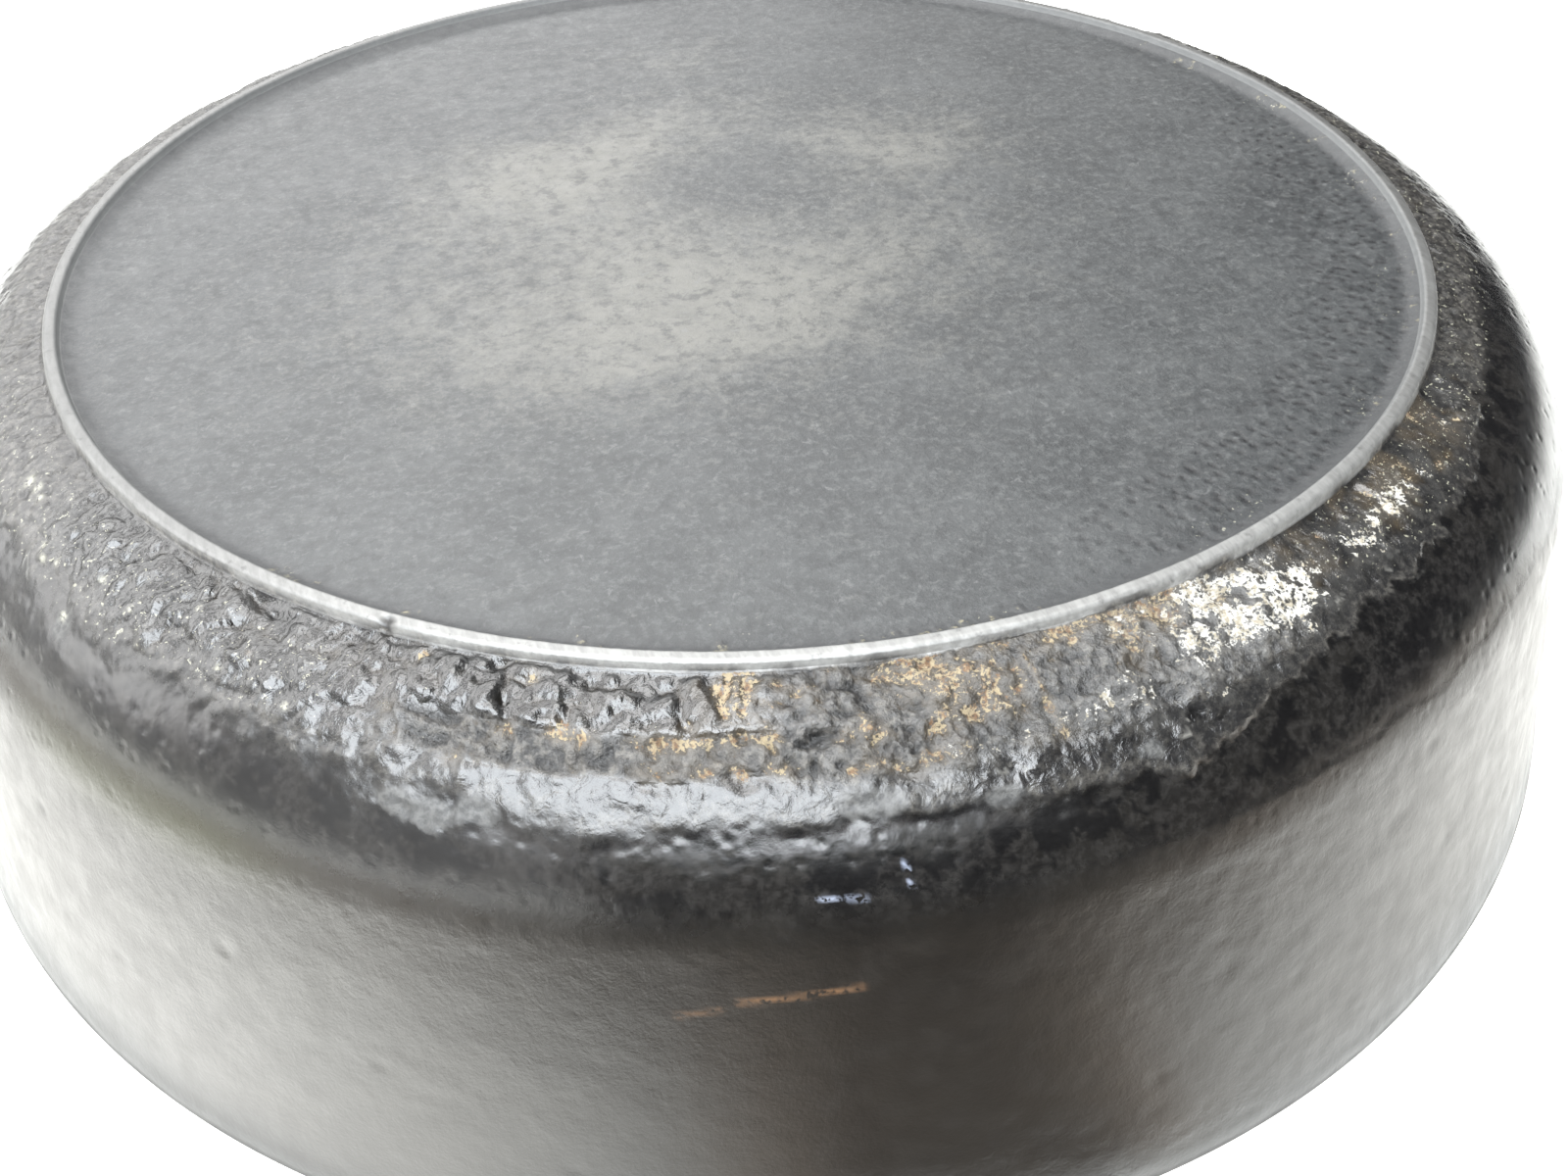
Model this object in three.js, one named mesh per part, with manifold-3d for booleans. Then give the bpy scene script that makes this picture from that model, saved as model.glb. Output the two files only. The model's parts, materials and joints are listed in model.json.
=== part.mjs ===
// Cast iron dutch oven, turned upside down on its rim for storage, in millimetres with +Z up.
// Three loose pieces: the pot casting with its two ears, the drop-in lid that lies under it, and the
// wire bail that swings in the ears. The origin is the middle of the flat base, which faces up here.
// X runs through the two ears, so it is also the axis that the bail swings about.
import * as THREE from 'three';
import { mergeVertices } from 'three/addons/utils/BufferGeometryUtils.js';
import Module from 'manifold-3d';

const wasm = await Module();
wasm.setup();

// Driving dimensions of the pot. Heights are measured from the base face, downwards to the rim.
const POT_DEPTH = 71.8;
const RIM_RADIUS = 146.4;
const WALL_DRAFT = 0.205;
const WALL_THICKNESS = 4.2;
const HEEL_RADIUS = 25.5;
const HEEL_CENTRE_RADIUS = 111;
const SHOULDER_DROP = 0.6;
const RING_OUTER_RADIUS = 112;
const RING_WIDTH = 2.4;
const RING_HEIGHT = 2;
const RING_FLAT_WIDTH = 1.1;
const RING_SIDE_STEP = 0.2;
const RING_CORNER = 0.5;
const HEEL_START = Math.PI / 2 - 0.06;
const POT_FACETS = 72;
const HEEL_STEPS = 9;
const INNER_HEEL_STEPS = 7;

// The rebate inside the rim that the lid drops into.
const REBATE_RADIUS = 142.5;
const REBATE_DEPTH = 4;
const SEAT_RADIUS = 138.5;
const SEAT_HEIGHT = 2.8;
const SEAT_BLEND = 8;
const RIM_CHAMFER = 0.6;

// The ears: a bracket from the wall and a tongue that stands off it, with a hole along X.
const HINGE_ABOVE_RIM = 13;
const HOLE_RADIUS = 4;
const TONGUE_RADIUS = 9;
const TONGUE_TOP_WIDTH = 30;
const TONGUE_INNER = 155;
const TONGUE_OUTER = 161;
const BRACKET_UNDERSIDE = 9;
const BRACKET_THICKNESS = 6;
const BRACKET_RISE = 8;
const BRACKET_CORNER = 2;
const BRACKET_SLOPE_RUN = 4;
const BRACKET_SLOPE_RISE = 1;
const EAR_BITE = 2.4;
const CUT_MARGIN = 1;

// The bail: round wire, hooked through each ear.
const WIRE_RADIUS = 3;
const WIRE_SIDES = 10;
const WIRE_BEND = 4;
const BAIL_RADIUS = 165.2;
const HOOK_LENGTH = 3.5;
const BEND_STEPS = 4;
const ARCH_STEPS = 44;
const TABLE_GAP = 0.2;

// The lid: a flange that fits the rebate, a low dome and a cast loop handle.
const LID_RADIUS = 141.3;
const LID_FLANGE_THICKNESS = 3.5;
const LID_FLANGE_WIDTH = 6;
const LID_DOME_RISE = 12;
const LID_THICKNESS = 4;
const LID_FACETS = 60;
const DOME_STEPS = 8;
const FLANGE_CHAMFER = 0.8;
const DOME_FOOT_STEP = 1.5;
const DOME_ANGLE_SHARE = 0.985;
const HANDLE_HALF_SPAN = 38;
const HANDLE_RISE = 24;
const HANDLE_WIDTH = 13;
const HANDLE_THICKNESS = 8;
const HANDLE_STEPS = 20;
const HANDLE_ROOT = 2.2;
const HANDLE_SIDES = 12;
const HANDLE_SIDE = { spanShare: 0.84, riseShare: 0.55 };
const HANDLE_CORNER = { spanShare: 0.5, drop: 2 };

// Rounding allowed where one run of the wire's route meets the next.
const STEP_SLACK = 1e-9;

// Vertices closer than this are one vertex.
const MERGE_DISTANCE = 1e-4;

// Seasoned black iron, and blackened wire.
const POT_LOOK = { color: 0x26272a, roughness: 0.5, metalness: 0.6 };
const LID_LOOK = { color: 0x222326, roughness: 0.5, metalness: 0.6 };
const BAIL_LOOK = { color: 0x35363a, roughness: 0.45, metalness: 0.8 };

const RIM_Z = -POT_DEPTH;
const HINGE_Z = RIM_Z + HINGE_ABOVE_RIM;

// Radius of the outside of the straight wall at height z.
function wallRadius(z) {
  return RIM_RADIUS - WALL_DRAFT * (z - RIM_Z);
}

// Points along an arc in the profile plane, angles in radians from the outward direction.
function arcPoints(centreX, centreY, radius, start, end, steps) {
  const points = [];
  for (let i = 0; i <= steps; i += 1) {
    const angle = start + ((end - start) * i) / steps;
    const x = centreX + radius * Math.cos(angle);
    const y = centreY + radius * Math.sin(angle);
    points.push(new THREE.Vector2(x, y));
  }
  return points;
}

// A closed, outward-facing solid from a three.js geometry, with coincident vertices joined.
function solidFrom(geometry) {
  const bare = geometry.clone();
  for (const name of Object.keys(bare.attributes)) {
    if (name !== 'position') bare.deleteAttribute(name);
  }
  const merged = mergeVertices(bare, MERGE_DISTANCE);
  const position = merged.attributes.position.array;
  const corners = [];
  const point = (i) => new THREE.Vector3().fromArray(position, 3 * i);
  let volume = 0;
  for (let t = 0; t < merged.index.count; t += 3) {
    const [a, b, c] = merged.index.array.slice(t, t + 3);
    if (a !== b && b !== c && c !== a) {
      corners.push(a, b, c);
      volume += point(a).dot(point(b).cross(point(c)));
    }
  }
  if (volume < 0) corners.reverse();
  return new wasm.Manifold(new wasm.Mesh({
    numProp: 3,
    vertProperties: new Float32Array(position),
    triVerts: new Uint32Array(corners),
  }));
}

function geometryFrom(solid) {
  const mesh = solid.getMesh();
  const geometry = new THREE.BufferGeometry();
  geometry.setAttribute('position', new THREE.BufferAttribute(mesh.vertProperties, 3));
  geometry.setIndex(new THREE.BufferAttribute(mesh.triVerts, 1));
  geometry.computeVertexNormals();
  return geometry;
}

// A profile of radius and height turned about Z.
function turned(profile, facets) {
  return solidFrom(new THREE.LatheGeometry(profile, facets).rotateX(Math.PI / 2));
}

// An outline extruded along Y, from -width / 2 to width / 2, with the outline in X and Z.
function slabAlongY(outline, width) {
  const geometry = new THREE.ExtrudeGeometry(new THREE.Shape(outline), {
    depth: width,
    bevelEnabled: false,
  });
  geometry.translate(0, 0, -width / 2);
  return solidFrom(geometry.rotateX(Math.PI / 2));
}

// An outline in Y and Z extruded along X, from x = start to x = end.
function slabAlongX(shape, start, end) {
  const geometry = new THREE.ExtrudeGeometry(shape, { depth: end - start, bevelEnabled: false });
  geometry.rotateX(Math.PI / 2);
  geometry.rotateZ(Math.PI / 2);
  geometry.translate(start, 0, 0);
  return solidFrom(geometry);
}

// The pot's section: base, heat ring, heel arc, flared wall, rim, lid seat and the inside.
function potProfile() {
  const draftAngle = Math.atan(WALL_DRAFT);
  const heelCentreZ = -SHOULDER_DROP - HEEL_RADIUS;
  const innerHeel = HEEL_RADIUS - WALL_THICKNESS;
  const ringMiddle = RING_OUTER_RADIUS - RING_WIDTH / 2;
  const ringInner = RING_OUTER_RADIUS - RING_WIDTH;
  const seatZ = RIM_Z + REBATE_DEPTH;
  const wallRun = WALL_THICKNESS / Math.cos(draftAngle);
  const blendZ = seatZ + SEAT_HEIGHT + SEAT_BLEND;
  const outerHeelArc = arcPoints(
    HEEL_CENTRE_RADIUS, heelCentreZ, HEEL_RADIUS, HEEL_START, draftAngle, HEEL_STEPS,
  );
  const innerHeelArc = arcPoints(
    HEEL_CENTRE_RADIUS, heelCentreZ, innerHeel, draftAngle, Math.PI / 2, INNER_HEEL_STEPS,
  );
  return [
    new THREE.Vector2(0, 0),
    new THREE.Vector2(ringInner, 0),
    new THREE.Vector2(ringInner + RING_SIDE_STEP, RING_HEIGHT - RING_CORNER),
    new THREE.Vector2(ringMiddle - RING_FLAT_WIDTH / 2, RING_HEIGHT),
    new THREE.Vector2(ringMiddle + RING_FLAT_WIDTH / 2, RING_HEIGHT),
    new THREE.Vector2(RING_OUTER_RADIUS - RING_SIDE_STEP, RING_HEIGHT - RING_CORNER),
    new THREE.Vector2(RING_OUTER_RADIUS, -SHOULDER_DROP),
    ...outerHeelArc,
    new THREE.Vector2(RIM_RADIUS, RIM_Z + RIM_CHAMFER),
    new THREE.Vector2(RIM_RADIUS - RIM_CHAMFER, RIM_Z),
    new THREE.Vector2(REBATE_RADIUS, RIM_Z),
    new THREE.Vector2(REBATE_RADIUS, seatZ),
    new THREE.Vector2(SEAT_RADIUS, seatZ),
    new THREE.Vector2(SEAT_RADIUS, seatZ + SEAT_HEIGHT),
    new THREE.Vector2(wallRadius(blendZ) - wallRun, blendZ),
    ...innerHeelArc,
    new THREE.Vector2(0, -SHOULDER_DROP - WALL_THICKNESS),
  ];
}

// One ear on the +X side: an L-shaped bracket trimmed to a tongue and drilled for the wire.
function earSolid() {
  const underside = HINGE_Z + BRACKET_UNDERSIDE;
  const top = underside + BRACKET_THICKNESS;
  const tip = HINGE_Z - TONGUE_RADIUS;
  const rootTop = top + BRACKET_RISE;
  const bracket = slabAlongY([
    new THREE.Vector2(wallRadius(underside) - EAR_BITE, underside),
    new THREE.Vector2(TONGUE_INNER, underside),
    new THREE.Vector2(TONGUE_INNER, tip),
    new THREE.Vector2(TONGUE_OUTER, tip),
    new THREE.Vector2(TONGUE_OUTER, top - BRACKET_CORNER),
    new THREE.Vector2(TONGUE_OUTER - BRACKET_CORNER, top),
    new THREE.Vector2(TONGUE_INNER - BRACKET_SLOPE_RUN, top + BRACKET_SLOPE_RISE),
    new THREE.Vector2(wallRadius(rootTop) - EAR_BITE, rootTop),
  ], TONGUE_TOP_WIDTH);
  const half = TONGUE_TOP_WIDTH / 2;
  const tongue = new THREE.Shape();
  tongue.moveTo(half, rootTop);
  tongue.lineTo(-half, rootTop);
  tongue.lineTo(-half, underside);
  tongue.lineTo(-TONGUE_RADIUS, HINGE_Z);
  tongue.absarc(0, HINGE_Z, TONGUE_RADIUS, Math.PI, 2 * Math.PI, false);
  tongue.lineTo(half, underside);
  const trim = slabAlongX(tongue, TONGUE_INNER - TONGUE_TOP_WIDTH, TONGUE_OUTER + CUT_MARGIN);
  const hole = new THREE.Shape();
  hole.absarc(0, HINGE_Z, HOLE_RADIUS, 0, 2 * Math.PI, false);
  const drill = slabAlongX(hole, TONGUE_INNER - CUT_MARGIN, TONGUE_OUTER + CUT_MARGIN);
  return bracket.intersect(trim).subtract(drill);
}

function potSolid() {
  const ear = earSolid();
  return turned(potProfile(), POT_FACETS).add(ear).add(ear.mirror([1, 0, 0]));
}

// The lid's section, right side up on the table: its underside, flange edge and domed top.
function lidProfile() {
  const domeRadius = LID_RADIUS - LID_FLANGE_WIDTH;
  const flangeTop = RIM_Z + LID_FLANGE_THICKNESS;
  const sphere = (domeRadius ** 2 + LID_DOME_RISE ** 2) / (2 * LID_DOME_RISE);
  const halfAngle = Math.asin(domeRadius / sphere);
  const under = arcPoints(
    0, RIM_Z + LID_DOME_RISE - sphere, sphere, Math.PI / 2, Math.PI / 2 - halfAngle, DOME_STEPS,
  );
  const upper = arcPoints(
    0, RIM_Z + LID_DOME_RISE - sphere + LID_THICKNESS, sphere,
    Math.PI / 2 - halfAngle * DOME_ANGLE_SHARE, Math.PI / 2, DOME_STEPS,
  );
  under[0].x = 0;
  upper[upper.length - 1].x = 0;
  return [
    ...under,
    new THREE.Vector2(LID_RADIUS - FLANGE_CHAMFER, RIM_Z),
    new THREE.Vector2(LID_RADIUS, RIM_Z + FLANGE_CHAMFER),
    new THREE.Vector2(LID_RADIUS, flangeTop - FLANGE_CHAMFER),
    new THREE.Vector2(LID_RADIUS - FLANGE_CHAMFER, flangeTop),
    new THREE.Vector2(domeRadius + DOME_FOOT_STEP, flangeTop),
    ...upper,
  ];
}

function ellipseSection(width, height, sides) {
  const section = new THREE.Shape();
  section.absellipse(0, 0, width / 2, height / 2, 0, 2 * Math.PI, false);
  return new THREE.Shape(section.getSpacedPoints(sides).slice(0, -1));
}

function lidSolid() {
  const domeTop = RIM_Z + LID_DOME_RISE + LID_THICKNESS;
  const foot = domeTop - HANDLE_ROOT;
  const top = domeTop + HANDLE_RISE;
  const sideX = HANDLE_HALF_SPAN * HANDLE_SIDE.spanShare;
  const sideZ = foot + (top - foot) * HANDLE_SIDE.riseShare;
  const cornerX = HANDLE_HALF_SPAN * HANDLE_CORNER.spanShare;
  const cornerZ = top - HANDLE_CORNER.drop;
  const route = new THREE.CatmullRomCurve3([
    new THREE.Vector3(-HANDLE_HALF_SPAN, 0, foot),
    new THREE.Vector3(-sideX, 0, sideZ),
    new THREE.Vector3(-cornerX, 0, cornerZ),
    new THREE.Vector3(0, 0, top),
    new THREE.Vector3(cornerX, 0, cornerZ),
    new THREE.Vector3(sideX, 0, sideZ),
    new THREE.Vector3(HANDLE_HALF_SPAN, 0, foot),
  ]);
  const loop = new THREE.ExtrudeGeometry(ellipseSection(HANDLE_WIDTH, HANDLE_THICKNESS, HANDLE_SIDES), {
    steps: HANDLE_STEPS,
    extrudePath: route,
  });
  return turned(lidProfile(), LID_FACETS).add(solidFrom(loop));
}

// An arc in the XY plane, as a curve that a wire can follow.
class FlatArc extends THREE.Curve {
  constructor(x, y, radius, start, end) {
    super();
    this.centre = new THREE.Vector3(x, y, 0);
    this.radius = radius;
    this.start = start;
    this.end = end;
  }

  getPoint(t) {
    const angle = this.start + (this.end - this.start) * t;
    const offset = new THREE.Vector3(Math.cos(angle), Math.sin(angle), 0);
    return offset.multiplyScalar(this.radius).add(this.centre);
  }
}

// A wire's centre line: curves joined end to end, each cut into its own number of steps.
class WireRoute extends THREE.Curve {
  constructor(runs) {
    super();
    this.runs = runs;
    this.steps = runs.reduce((sum, run) => sum + run.steps, 0);
  }

  getPoint(t) {
    let left = t * this.steps;
    for (const run of this.runs) {
      if (left <= run.steps + STEP_SLACK) return run.curve.getPoint(Math.min(left / run.steps, 1));
      left -= run.steps;
    }
    return this.runs[this.runs.length - 1].curve.getPoint(1);
  }

  getPointAt(u) {
    return this.getPoint(u);
  }

  getTangentAt(u) {
    return this.getTangent(u);
  }
}

// The bail lies in its own XY plane here: X through the ears, Y out to the middle of the arch.
function bailRoute() {
  const hookX = TONGUE_INNER - WIRE_BEND;
  const legBendX = BAIL_RADIUS - WIRE_BEND;
  const line = (x1, y1, x2, y2) => new THREE.LineCurve3(
    new THREE.Vector3(x1, y1, 0), new THREE.Vector3(x2, y2, 0),
  );
  const archStart = Math.asin(WIRE_BEND / BAIL_RADIUS);
  const half = Math.PI / 2;
  return new WireRoute([
    { steps: 1, curve: line(hookX, WIRE_BEND + HOOK_LENGTH, hookX, WIRE_BEND) },
    { steps: BEND_STEPS, curve: new FlatArc(TONGUE_INNER, WIRE_BEND, WIRE_BEND, 2 * half, 3 * half) },
    { steps: 1, curve: line(TONGUE_INNER, 0, legBendX, 0) },
    { steps: BEND_STEPS, curve: new FlatArc(legBendX, WIRE_BEND, WIRE_BEND, -half, 0) },
    { steps: ARCH_STEPS, curve: new FlatArc(0, 0, BAIL_RADIUS, archStart, 2 * half - archStart) },
    { steps: BEND_STEPS, curve: new FlatArc(-legBendX, WIRE_BEND, WIRE_BEND, 2 * half, 3 * half) },
    { steps: 1, curve: line(-legBendX, 0, -TONGUE_INNER, 0) },
    { steps: BEND_STEPS, curve: new FlatArc(-TONGUE_INNER, WIRE_BEND, WIRE_BEND, -half, 0) },
    { steps: 1, curve: line(-hookX, WIRE_BEND, -hookX, WIRE_BEND + HOOK_LENGTH) },
  ]);
}

function bailSolid() {
  const route = bailRoute();
  const section = ellipseSection(2 * WIRE_RADIUS, 2 * WIRE_RADIUS, WIRE_SIDES);
  return solidFrom(new THREE.ExtrudeGeometry(section, { steps: route.steps, extrudePath: route }));
}

function piece(name, solid, look) {
  const material = new THREE.MeshStandardMaterial(look);
  const mesh = new THREE.Mesh(geometryFrom(solid), material);
  mesh.name = name;
  return mesh;
}

const group = new THREE.Group();
group.add(piece('pot_casting', potSolid(), POT_LOOK));
group.add(piece('lid_casting', lidSolid(), LID_LOOK));

// The bail hangs from the ears and its arch lies on the table behind the pot.
const bail = piece('bail_wire', bailSolid(), BAIL_LOOK);
const bailDrop = HINGE_ABOVE_RIM - WIRE_RADIUS - TABLE_GAP;
bail.position.z = HINGE_Z;
bail.rotation.x = -Math.asin(bailDrop / BAIL_RADIUS);
group.add(bail);

export default group;
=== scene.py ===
import json
import math

import bmesh
import bpy
import numpy as np
from mathutils import Matrix, Vector


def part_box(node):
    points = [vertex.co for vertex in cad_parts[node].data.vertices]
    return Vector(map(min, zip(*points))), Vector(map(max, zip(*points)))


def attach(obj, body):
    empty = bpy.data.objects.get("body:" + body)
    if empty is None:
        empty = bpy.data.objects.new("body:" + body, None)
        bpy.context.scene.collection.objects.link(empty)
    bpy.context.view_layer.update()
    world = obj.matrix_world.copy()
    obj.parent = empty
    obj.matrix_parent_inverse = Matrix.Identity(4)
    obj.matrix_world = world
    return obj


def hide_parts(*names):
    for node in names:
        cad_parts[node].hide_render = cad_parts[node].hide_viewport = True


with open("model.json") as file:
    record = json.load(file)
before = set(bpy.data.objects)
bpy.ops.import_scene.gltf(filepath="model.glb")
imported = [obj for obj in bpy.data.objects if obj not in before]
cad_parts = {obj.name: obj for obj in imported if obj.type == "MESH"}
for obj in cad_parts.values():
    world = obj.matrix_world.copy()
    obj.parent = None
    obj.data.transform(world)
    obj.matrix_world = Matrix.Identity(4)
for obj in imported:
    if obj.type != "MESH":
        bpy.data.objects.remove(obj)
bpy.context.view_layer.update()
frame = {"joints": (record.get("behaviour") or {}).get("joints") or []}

MM = 0.001

# ---------------------------------------------------------------- sizes, in millimetres
POT_LOW, POT_HIGH = (np.array(corner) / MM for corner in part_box("pot_casting"))
LID_HIGH = np.array(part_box("lid_casting")[1]) / MM
HINGE_Z = next(joint for joint in frame["joints"] if joint["name"] == "bail_swing")["pos_m"][2] / MM

RIM_Z = POT_LOW[2]
RING_TOP = POT_HIGH[2]
RIM_RADIUS = POT_HIGH[1]
RING_OUTER = 112.0
RING_INNER = 109.6
SHOULDER_Z = -0.6
HEEL_RADIUS = 25.5
HEEL_CENTRE_R = 111.0
HEEL_CENTRE_Z = SHOULDER_Z - HEEL_RADIUS
WALL_DRAFT = 0.205
WALL_LEAN = math.atan(WALL_DRAFT)
# The heel's arc begins this far from straight up, in radians.
HEEL_START = 0.04
HEEL_ARC = HEEL_RADIUS * (math.pi / 2 - HEEL_START - WALL_LEAN)
WALL_THICKNESS = 4.2
REBATE_RADIUS = 142.5
REBATE_DEPTH = 4.0
SEAT_RADIUS = 138.5
SEAT_HEIGHT = 2.8
# Length of the crust's band round the pot, and of one degree of it.
BAND_LENGTH = 2 * math.pi * 120.0
DEGREE = BAND_LENGTH / 360

# Vertices in one turn of the skin, halved towards the middle and on the inside.
TURN = 1800


# ---------------------------------------------------------------- noise
def hash01(ix, iy, seed):
    """A repeatable number from 0 to 1 for each pair of whole numbers."""
    h = ix.astype(np.int64) * 374761393 + iy.astype(np.int64) * 668265263 + seed * 362437
    h &= 0xFFFFFFFF
    h = ((h ^ (h >> 13)) * 1274126177) & 0xFFFFFFFF
    return ((h ^ (h >> 16)) & 0xFFFFFF) / 0xFFFFFF


def noise(x, y, seed, wrap=None):
    """Smooth noise from -1 to 1. wrap is the number of cells in one turn of x."""
    ix, iy = np.floor(x), np.floor(y)
    fx, fy = x - ix, y - iy
    fx, fy = fx * fx * (3 - 2 * fx), fy * fy * (3 - 2 * fy)
    right = ix + 1
    if wrap:
        ix, right = ix % wrap, right % wrap
    low = hash01(ix, iy, seed) * (1 - fx) + hash01(right, iy, seed) * fx
    high = hash01(ix, iy + 1, seed) * (1 - fx) + hash01(right, iy + 1, seed) * fx
    return 2 * (low * (1 - fy) + high * fy) - 1


def fractal(x, y, seed, octaves=3, wrap=None, gain=0.5):
    """Layers of ever finer noise, together from -1 to 1."""
    total, size, whole = 0.0, 1.0, 0.0
    for k in range(octaves):
        step = 2**k
        total = total + size * noise(x * step, y * step, seed + 17 * k, wrap and wrap * step)
        whole += size
        size *= gain
    return total / whole


def cells(x, y, seed, wrap=None):
    """Distances to the nearest and second nearest of scattered points, and the nearest one's number."""
    ix, iy = np.floor(x), np.floor(y)
    first = np.full(x.shape, 9.0)
    second = np.full(x.shape, 9.0)
    number = np.zeros(x.shape)
    for dx in (-1, 0, 1):
        for dy in (-1, 0, 1):
            cx, cy = ix + dx, iy + dy
            kx = cx % wrap if wrap else cx
            px = cx + 0.1 + 0.8 * hash01(kx, cy, seed)
            py = cy + 0.1 + 0.8 * hash01(kx, cy, seed + 1)
            d = np.hypot(px - x, py - y)
            nearer = d < first
            second = np.where(nearer, first, np.minimum(second, d))
            number = np.where(nearer, hash01(kx, cy, seed + 2), number)
            first = np.where(nearer, d, first)
    return first, second, number


def smooth(value, low, high):
    """0 below low, 1 above high and a soft rise between them."""
    t = np.clip((value - low) / (high - low), 0, 1)
    return t * t * (3 - 2 * t)


class Around:
    """Noise over a band round the pot: u is the share of a turn and s the distance down from the ring."""

    def __init__(self, u, s):
        self.u, self.s = u, s

    def grid(self, cell, stretch=1.0):
        turns = max(8, round(BAND_LENGTH / (cell * stretch)))
        return self.u * turns, self.s / cell, turns

    def fractal(self, cell, seed, octaves=3, stretch=1.0, gain=0.5):
        x, y, turns = self.grid(cell, stretch)
        return fractal(x, y, seed, octaves, turns, gain)

    def cells(self, cell, seed, stretch=1.0, warp=0.0):
        x, y, turns = self.grid(cell, stretch)
        if warp:
            x = x + warp * noise(x, y, seed + 5, turns)
            y = y + warp * noise(x, y, seed + 6, turns)
        return cells(x, y, seed, turns)

    def domes(self, cell, seed, stretch=1.0, warp=0.0):
        """Blisters of uneven height."""
        near, _, number = self.cells(cell, seed, stretch, warp)
        return np.sqrt(np.clip(1 - (near / 0.75) ** 2, 0, 1)) * (0.2 + 0.8 * number)


def around_gap(azimuth, centre):
    """Degrees between two azimuths, at most 180."""
    return np.abs((azimuth - centre + 180) % 360 - 180)


def sector(azimuth, start, end, soft):
    """1 between two azimuths and 0 beyond them, with soft ends."""
    centre, half = (start + end) / 2, (end - start) / 2
    return 1 - smooth(around_gap(azimuth, centre), half - soft / 2, half + soft / 2)


def turning(azimuth, points):
    """A value that runs smoothly round the pot through (azimuth, value) points."""
    points = sorted(points)
    xs = [p[0] for p in points]
    ys = [p[1] for p in points]
    xs = [xs[-1] - 360] + xs + [xs[0] + 360]
    ys = [ys[-1]] + ys + [ys[0]]
    return np.interp(azimuth, xs, ys)


def spot(x, y, cx, cy, rx, ry):
    """A soft round spot, 1 at its middle."""
    return np.exp(-(((x - cx) / rx) ** 2) - ((y - cy) / ry) ** 2)


def spots(azimuth, s, table):
    """Soft spots from rows of azimuth, distance from the ring, half width, half height and strength."""
    return sum(power * spot(azimuth * DEGREE, s, centre * DEGREE, low, wide, tall)
               for centre, low, wide, tall, power in table)


def dots(azimuth, s, table):
    """Round spots from rows of azimuth, distance from the ring and radius."""
    return spots(azimuth, s, [(centre, low, size, size, 1.0) for centre, low, size in table])


def stroke(azimuth, s, start, end, width):
    """A thin straight mark between two (azimuth, s) points, width in millimetres."""
    ax, ay = start[0] * DEGREE, start[1]
    bx, by = end[0] * DEGREE, end[1]
    px, py = azimuth * DEGREE, s
    t = np.clip(((px - ax) * (bx - ax) + (py - ay) * (by - ay)) / ((bx - ax) ** 2 + (by - ay) ** 2), 0, 1)
    d = np.hypot(px - ax - t * (bx - ax), py - ay - t * (by - ay))
    return np.exp(-((d / width) ** 2))


def strokes(azimuth, s, table):
    """Thin marks from rows of start, end and width."""
    return sum(stroke(azimuth, s, *row) for row in table)


# ---------------------------------------------------------------- relief of the pot's skin
# How far down from the ring the carbon crust reaches, by azimuth.
CRUST_REACH = [
    (-180, 12), (-165, 14), (-150, 17), (-135, 18), (-127, 20.5), (-115, 21.0), (-102, 19.5),
    (-90, 21), (-84, 21), (-78, 17), (-70, 14), (-60, 12.5), (-50, 11), (-35, 10), (0, 12),
    (40, 15), (80, 12), (120, 15), (150, 12),
]
# How thick it is, by azimuth, and how softly its lower edge fades out.
CRUST_THICK = [
    (-180, 0.5), (-150, 0.5), (-128, 0.5), (-106, 0.4), (-94, 0.28), (-86, 0.4), (-78, 0.4), (-60, 0.3),
    (-45, 0.22), (0, 0.3), (90, 0.5),
]
CRUST_FADE = [
    (-180, 9), (-150, 10), (-132, 9), (-124, 7), (-108, 6), (-98, 5.5), (-91, 4), (-83, 1.6), (-64, 1.6),
    (-52, 4), (-35, 8), (0, 9),
]
# Zones of the crust: first and last azimuth, nearest and furthest distance from the ring, softness of the
# ends in degrees and of the near edge, and of the far edge where it differs.
LUMP_ZONE = (-127, -103, -0.6, 8.0, 5, 0.5)
PLATE_ZONE = (-158, -124, -0.6, 14.5, 10, 0.6, 4.5)
SEAM_ZONE = (-128, -97, 8.2, 12.6, 6, 0.5)
SHEET_ZONE = (-130, -104, 12.8, 20.5, 5, 0.6, 2.8)
RUSTY_ZONE = (-107, -76, -1, 13.5, 6, 1.2)
FLAKE_ZONE = (-100, -44, -1, 22, 10, 3)
# What the glossy zones are made of: shares of big lumps, middle lumps, blisters, small lumps and peeling
# layers, and the level that they stand at.
LUMP_MIX = (0.85, 0.45, 0.40, 0.18, 0.25, -0.55)
PLATE_MIX = (0.32, 0.38, 0.42, 0.24, 0.60, -0.40)
REST_MIX = (0.16, 0.28, 0.25, 0.16, 0.40, -0.25)
# What the matt zones are made of: shares of grit, coarse grit and peeling layers, and their level.
SEAM_MIX = (0.45, 0.55, 0.50, -0.55)
RUSTY_MIX = (0.40, 0.40, 0.60, -0.10)
FLAKE_MIX = (0.10, 0.10, 0.35, 0.0)


def mixed(shares, parts):
    """The parts in the given shares, plus the last share as a level."""
    return sum(share * part for share, part in zip(shares, parts)) + shares[-1]


def rounded(value, full):
    """Round-topped lumps with sharp creases between them, from noise that crosses zero."""
    t = np.clip(np.abs(value) / full, 0, 1)
    return t * (2 - t)


def terraced(value, steps, sharp=0.3):
    """Noise cut into flat layers with short steep edges, like peeling flakes."""
    scaled = value * steps
    whole = np.floor(scaled)
    return (whole + smooth(scaled - whole, 0.5 - sharp / 2, 0.5 + sharp / 2)) / steps


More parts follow.
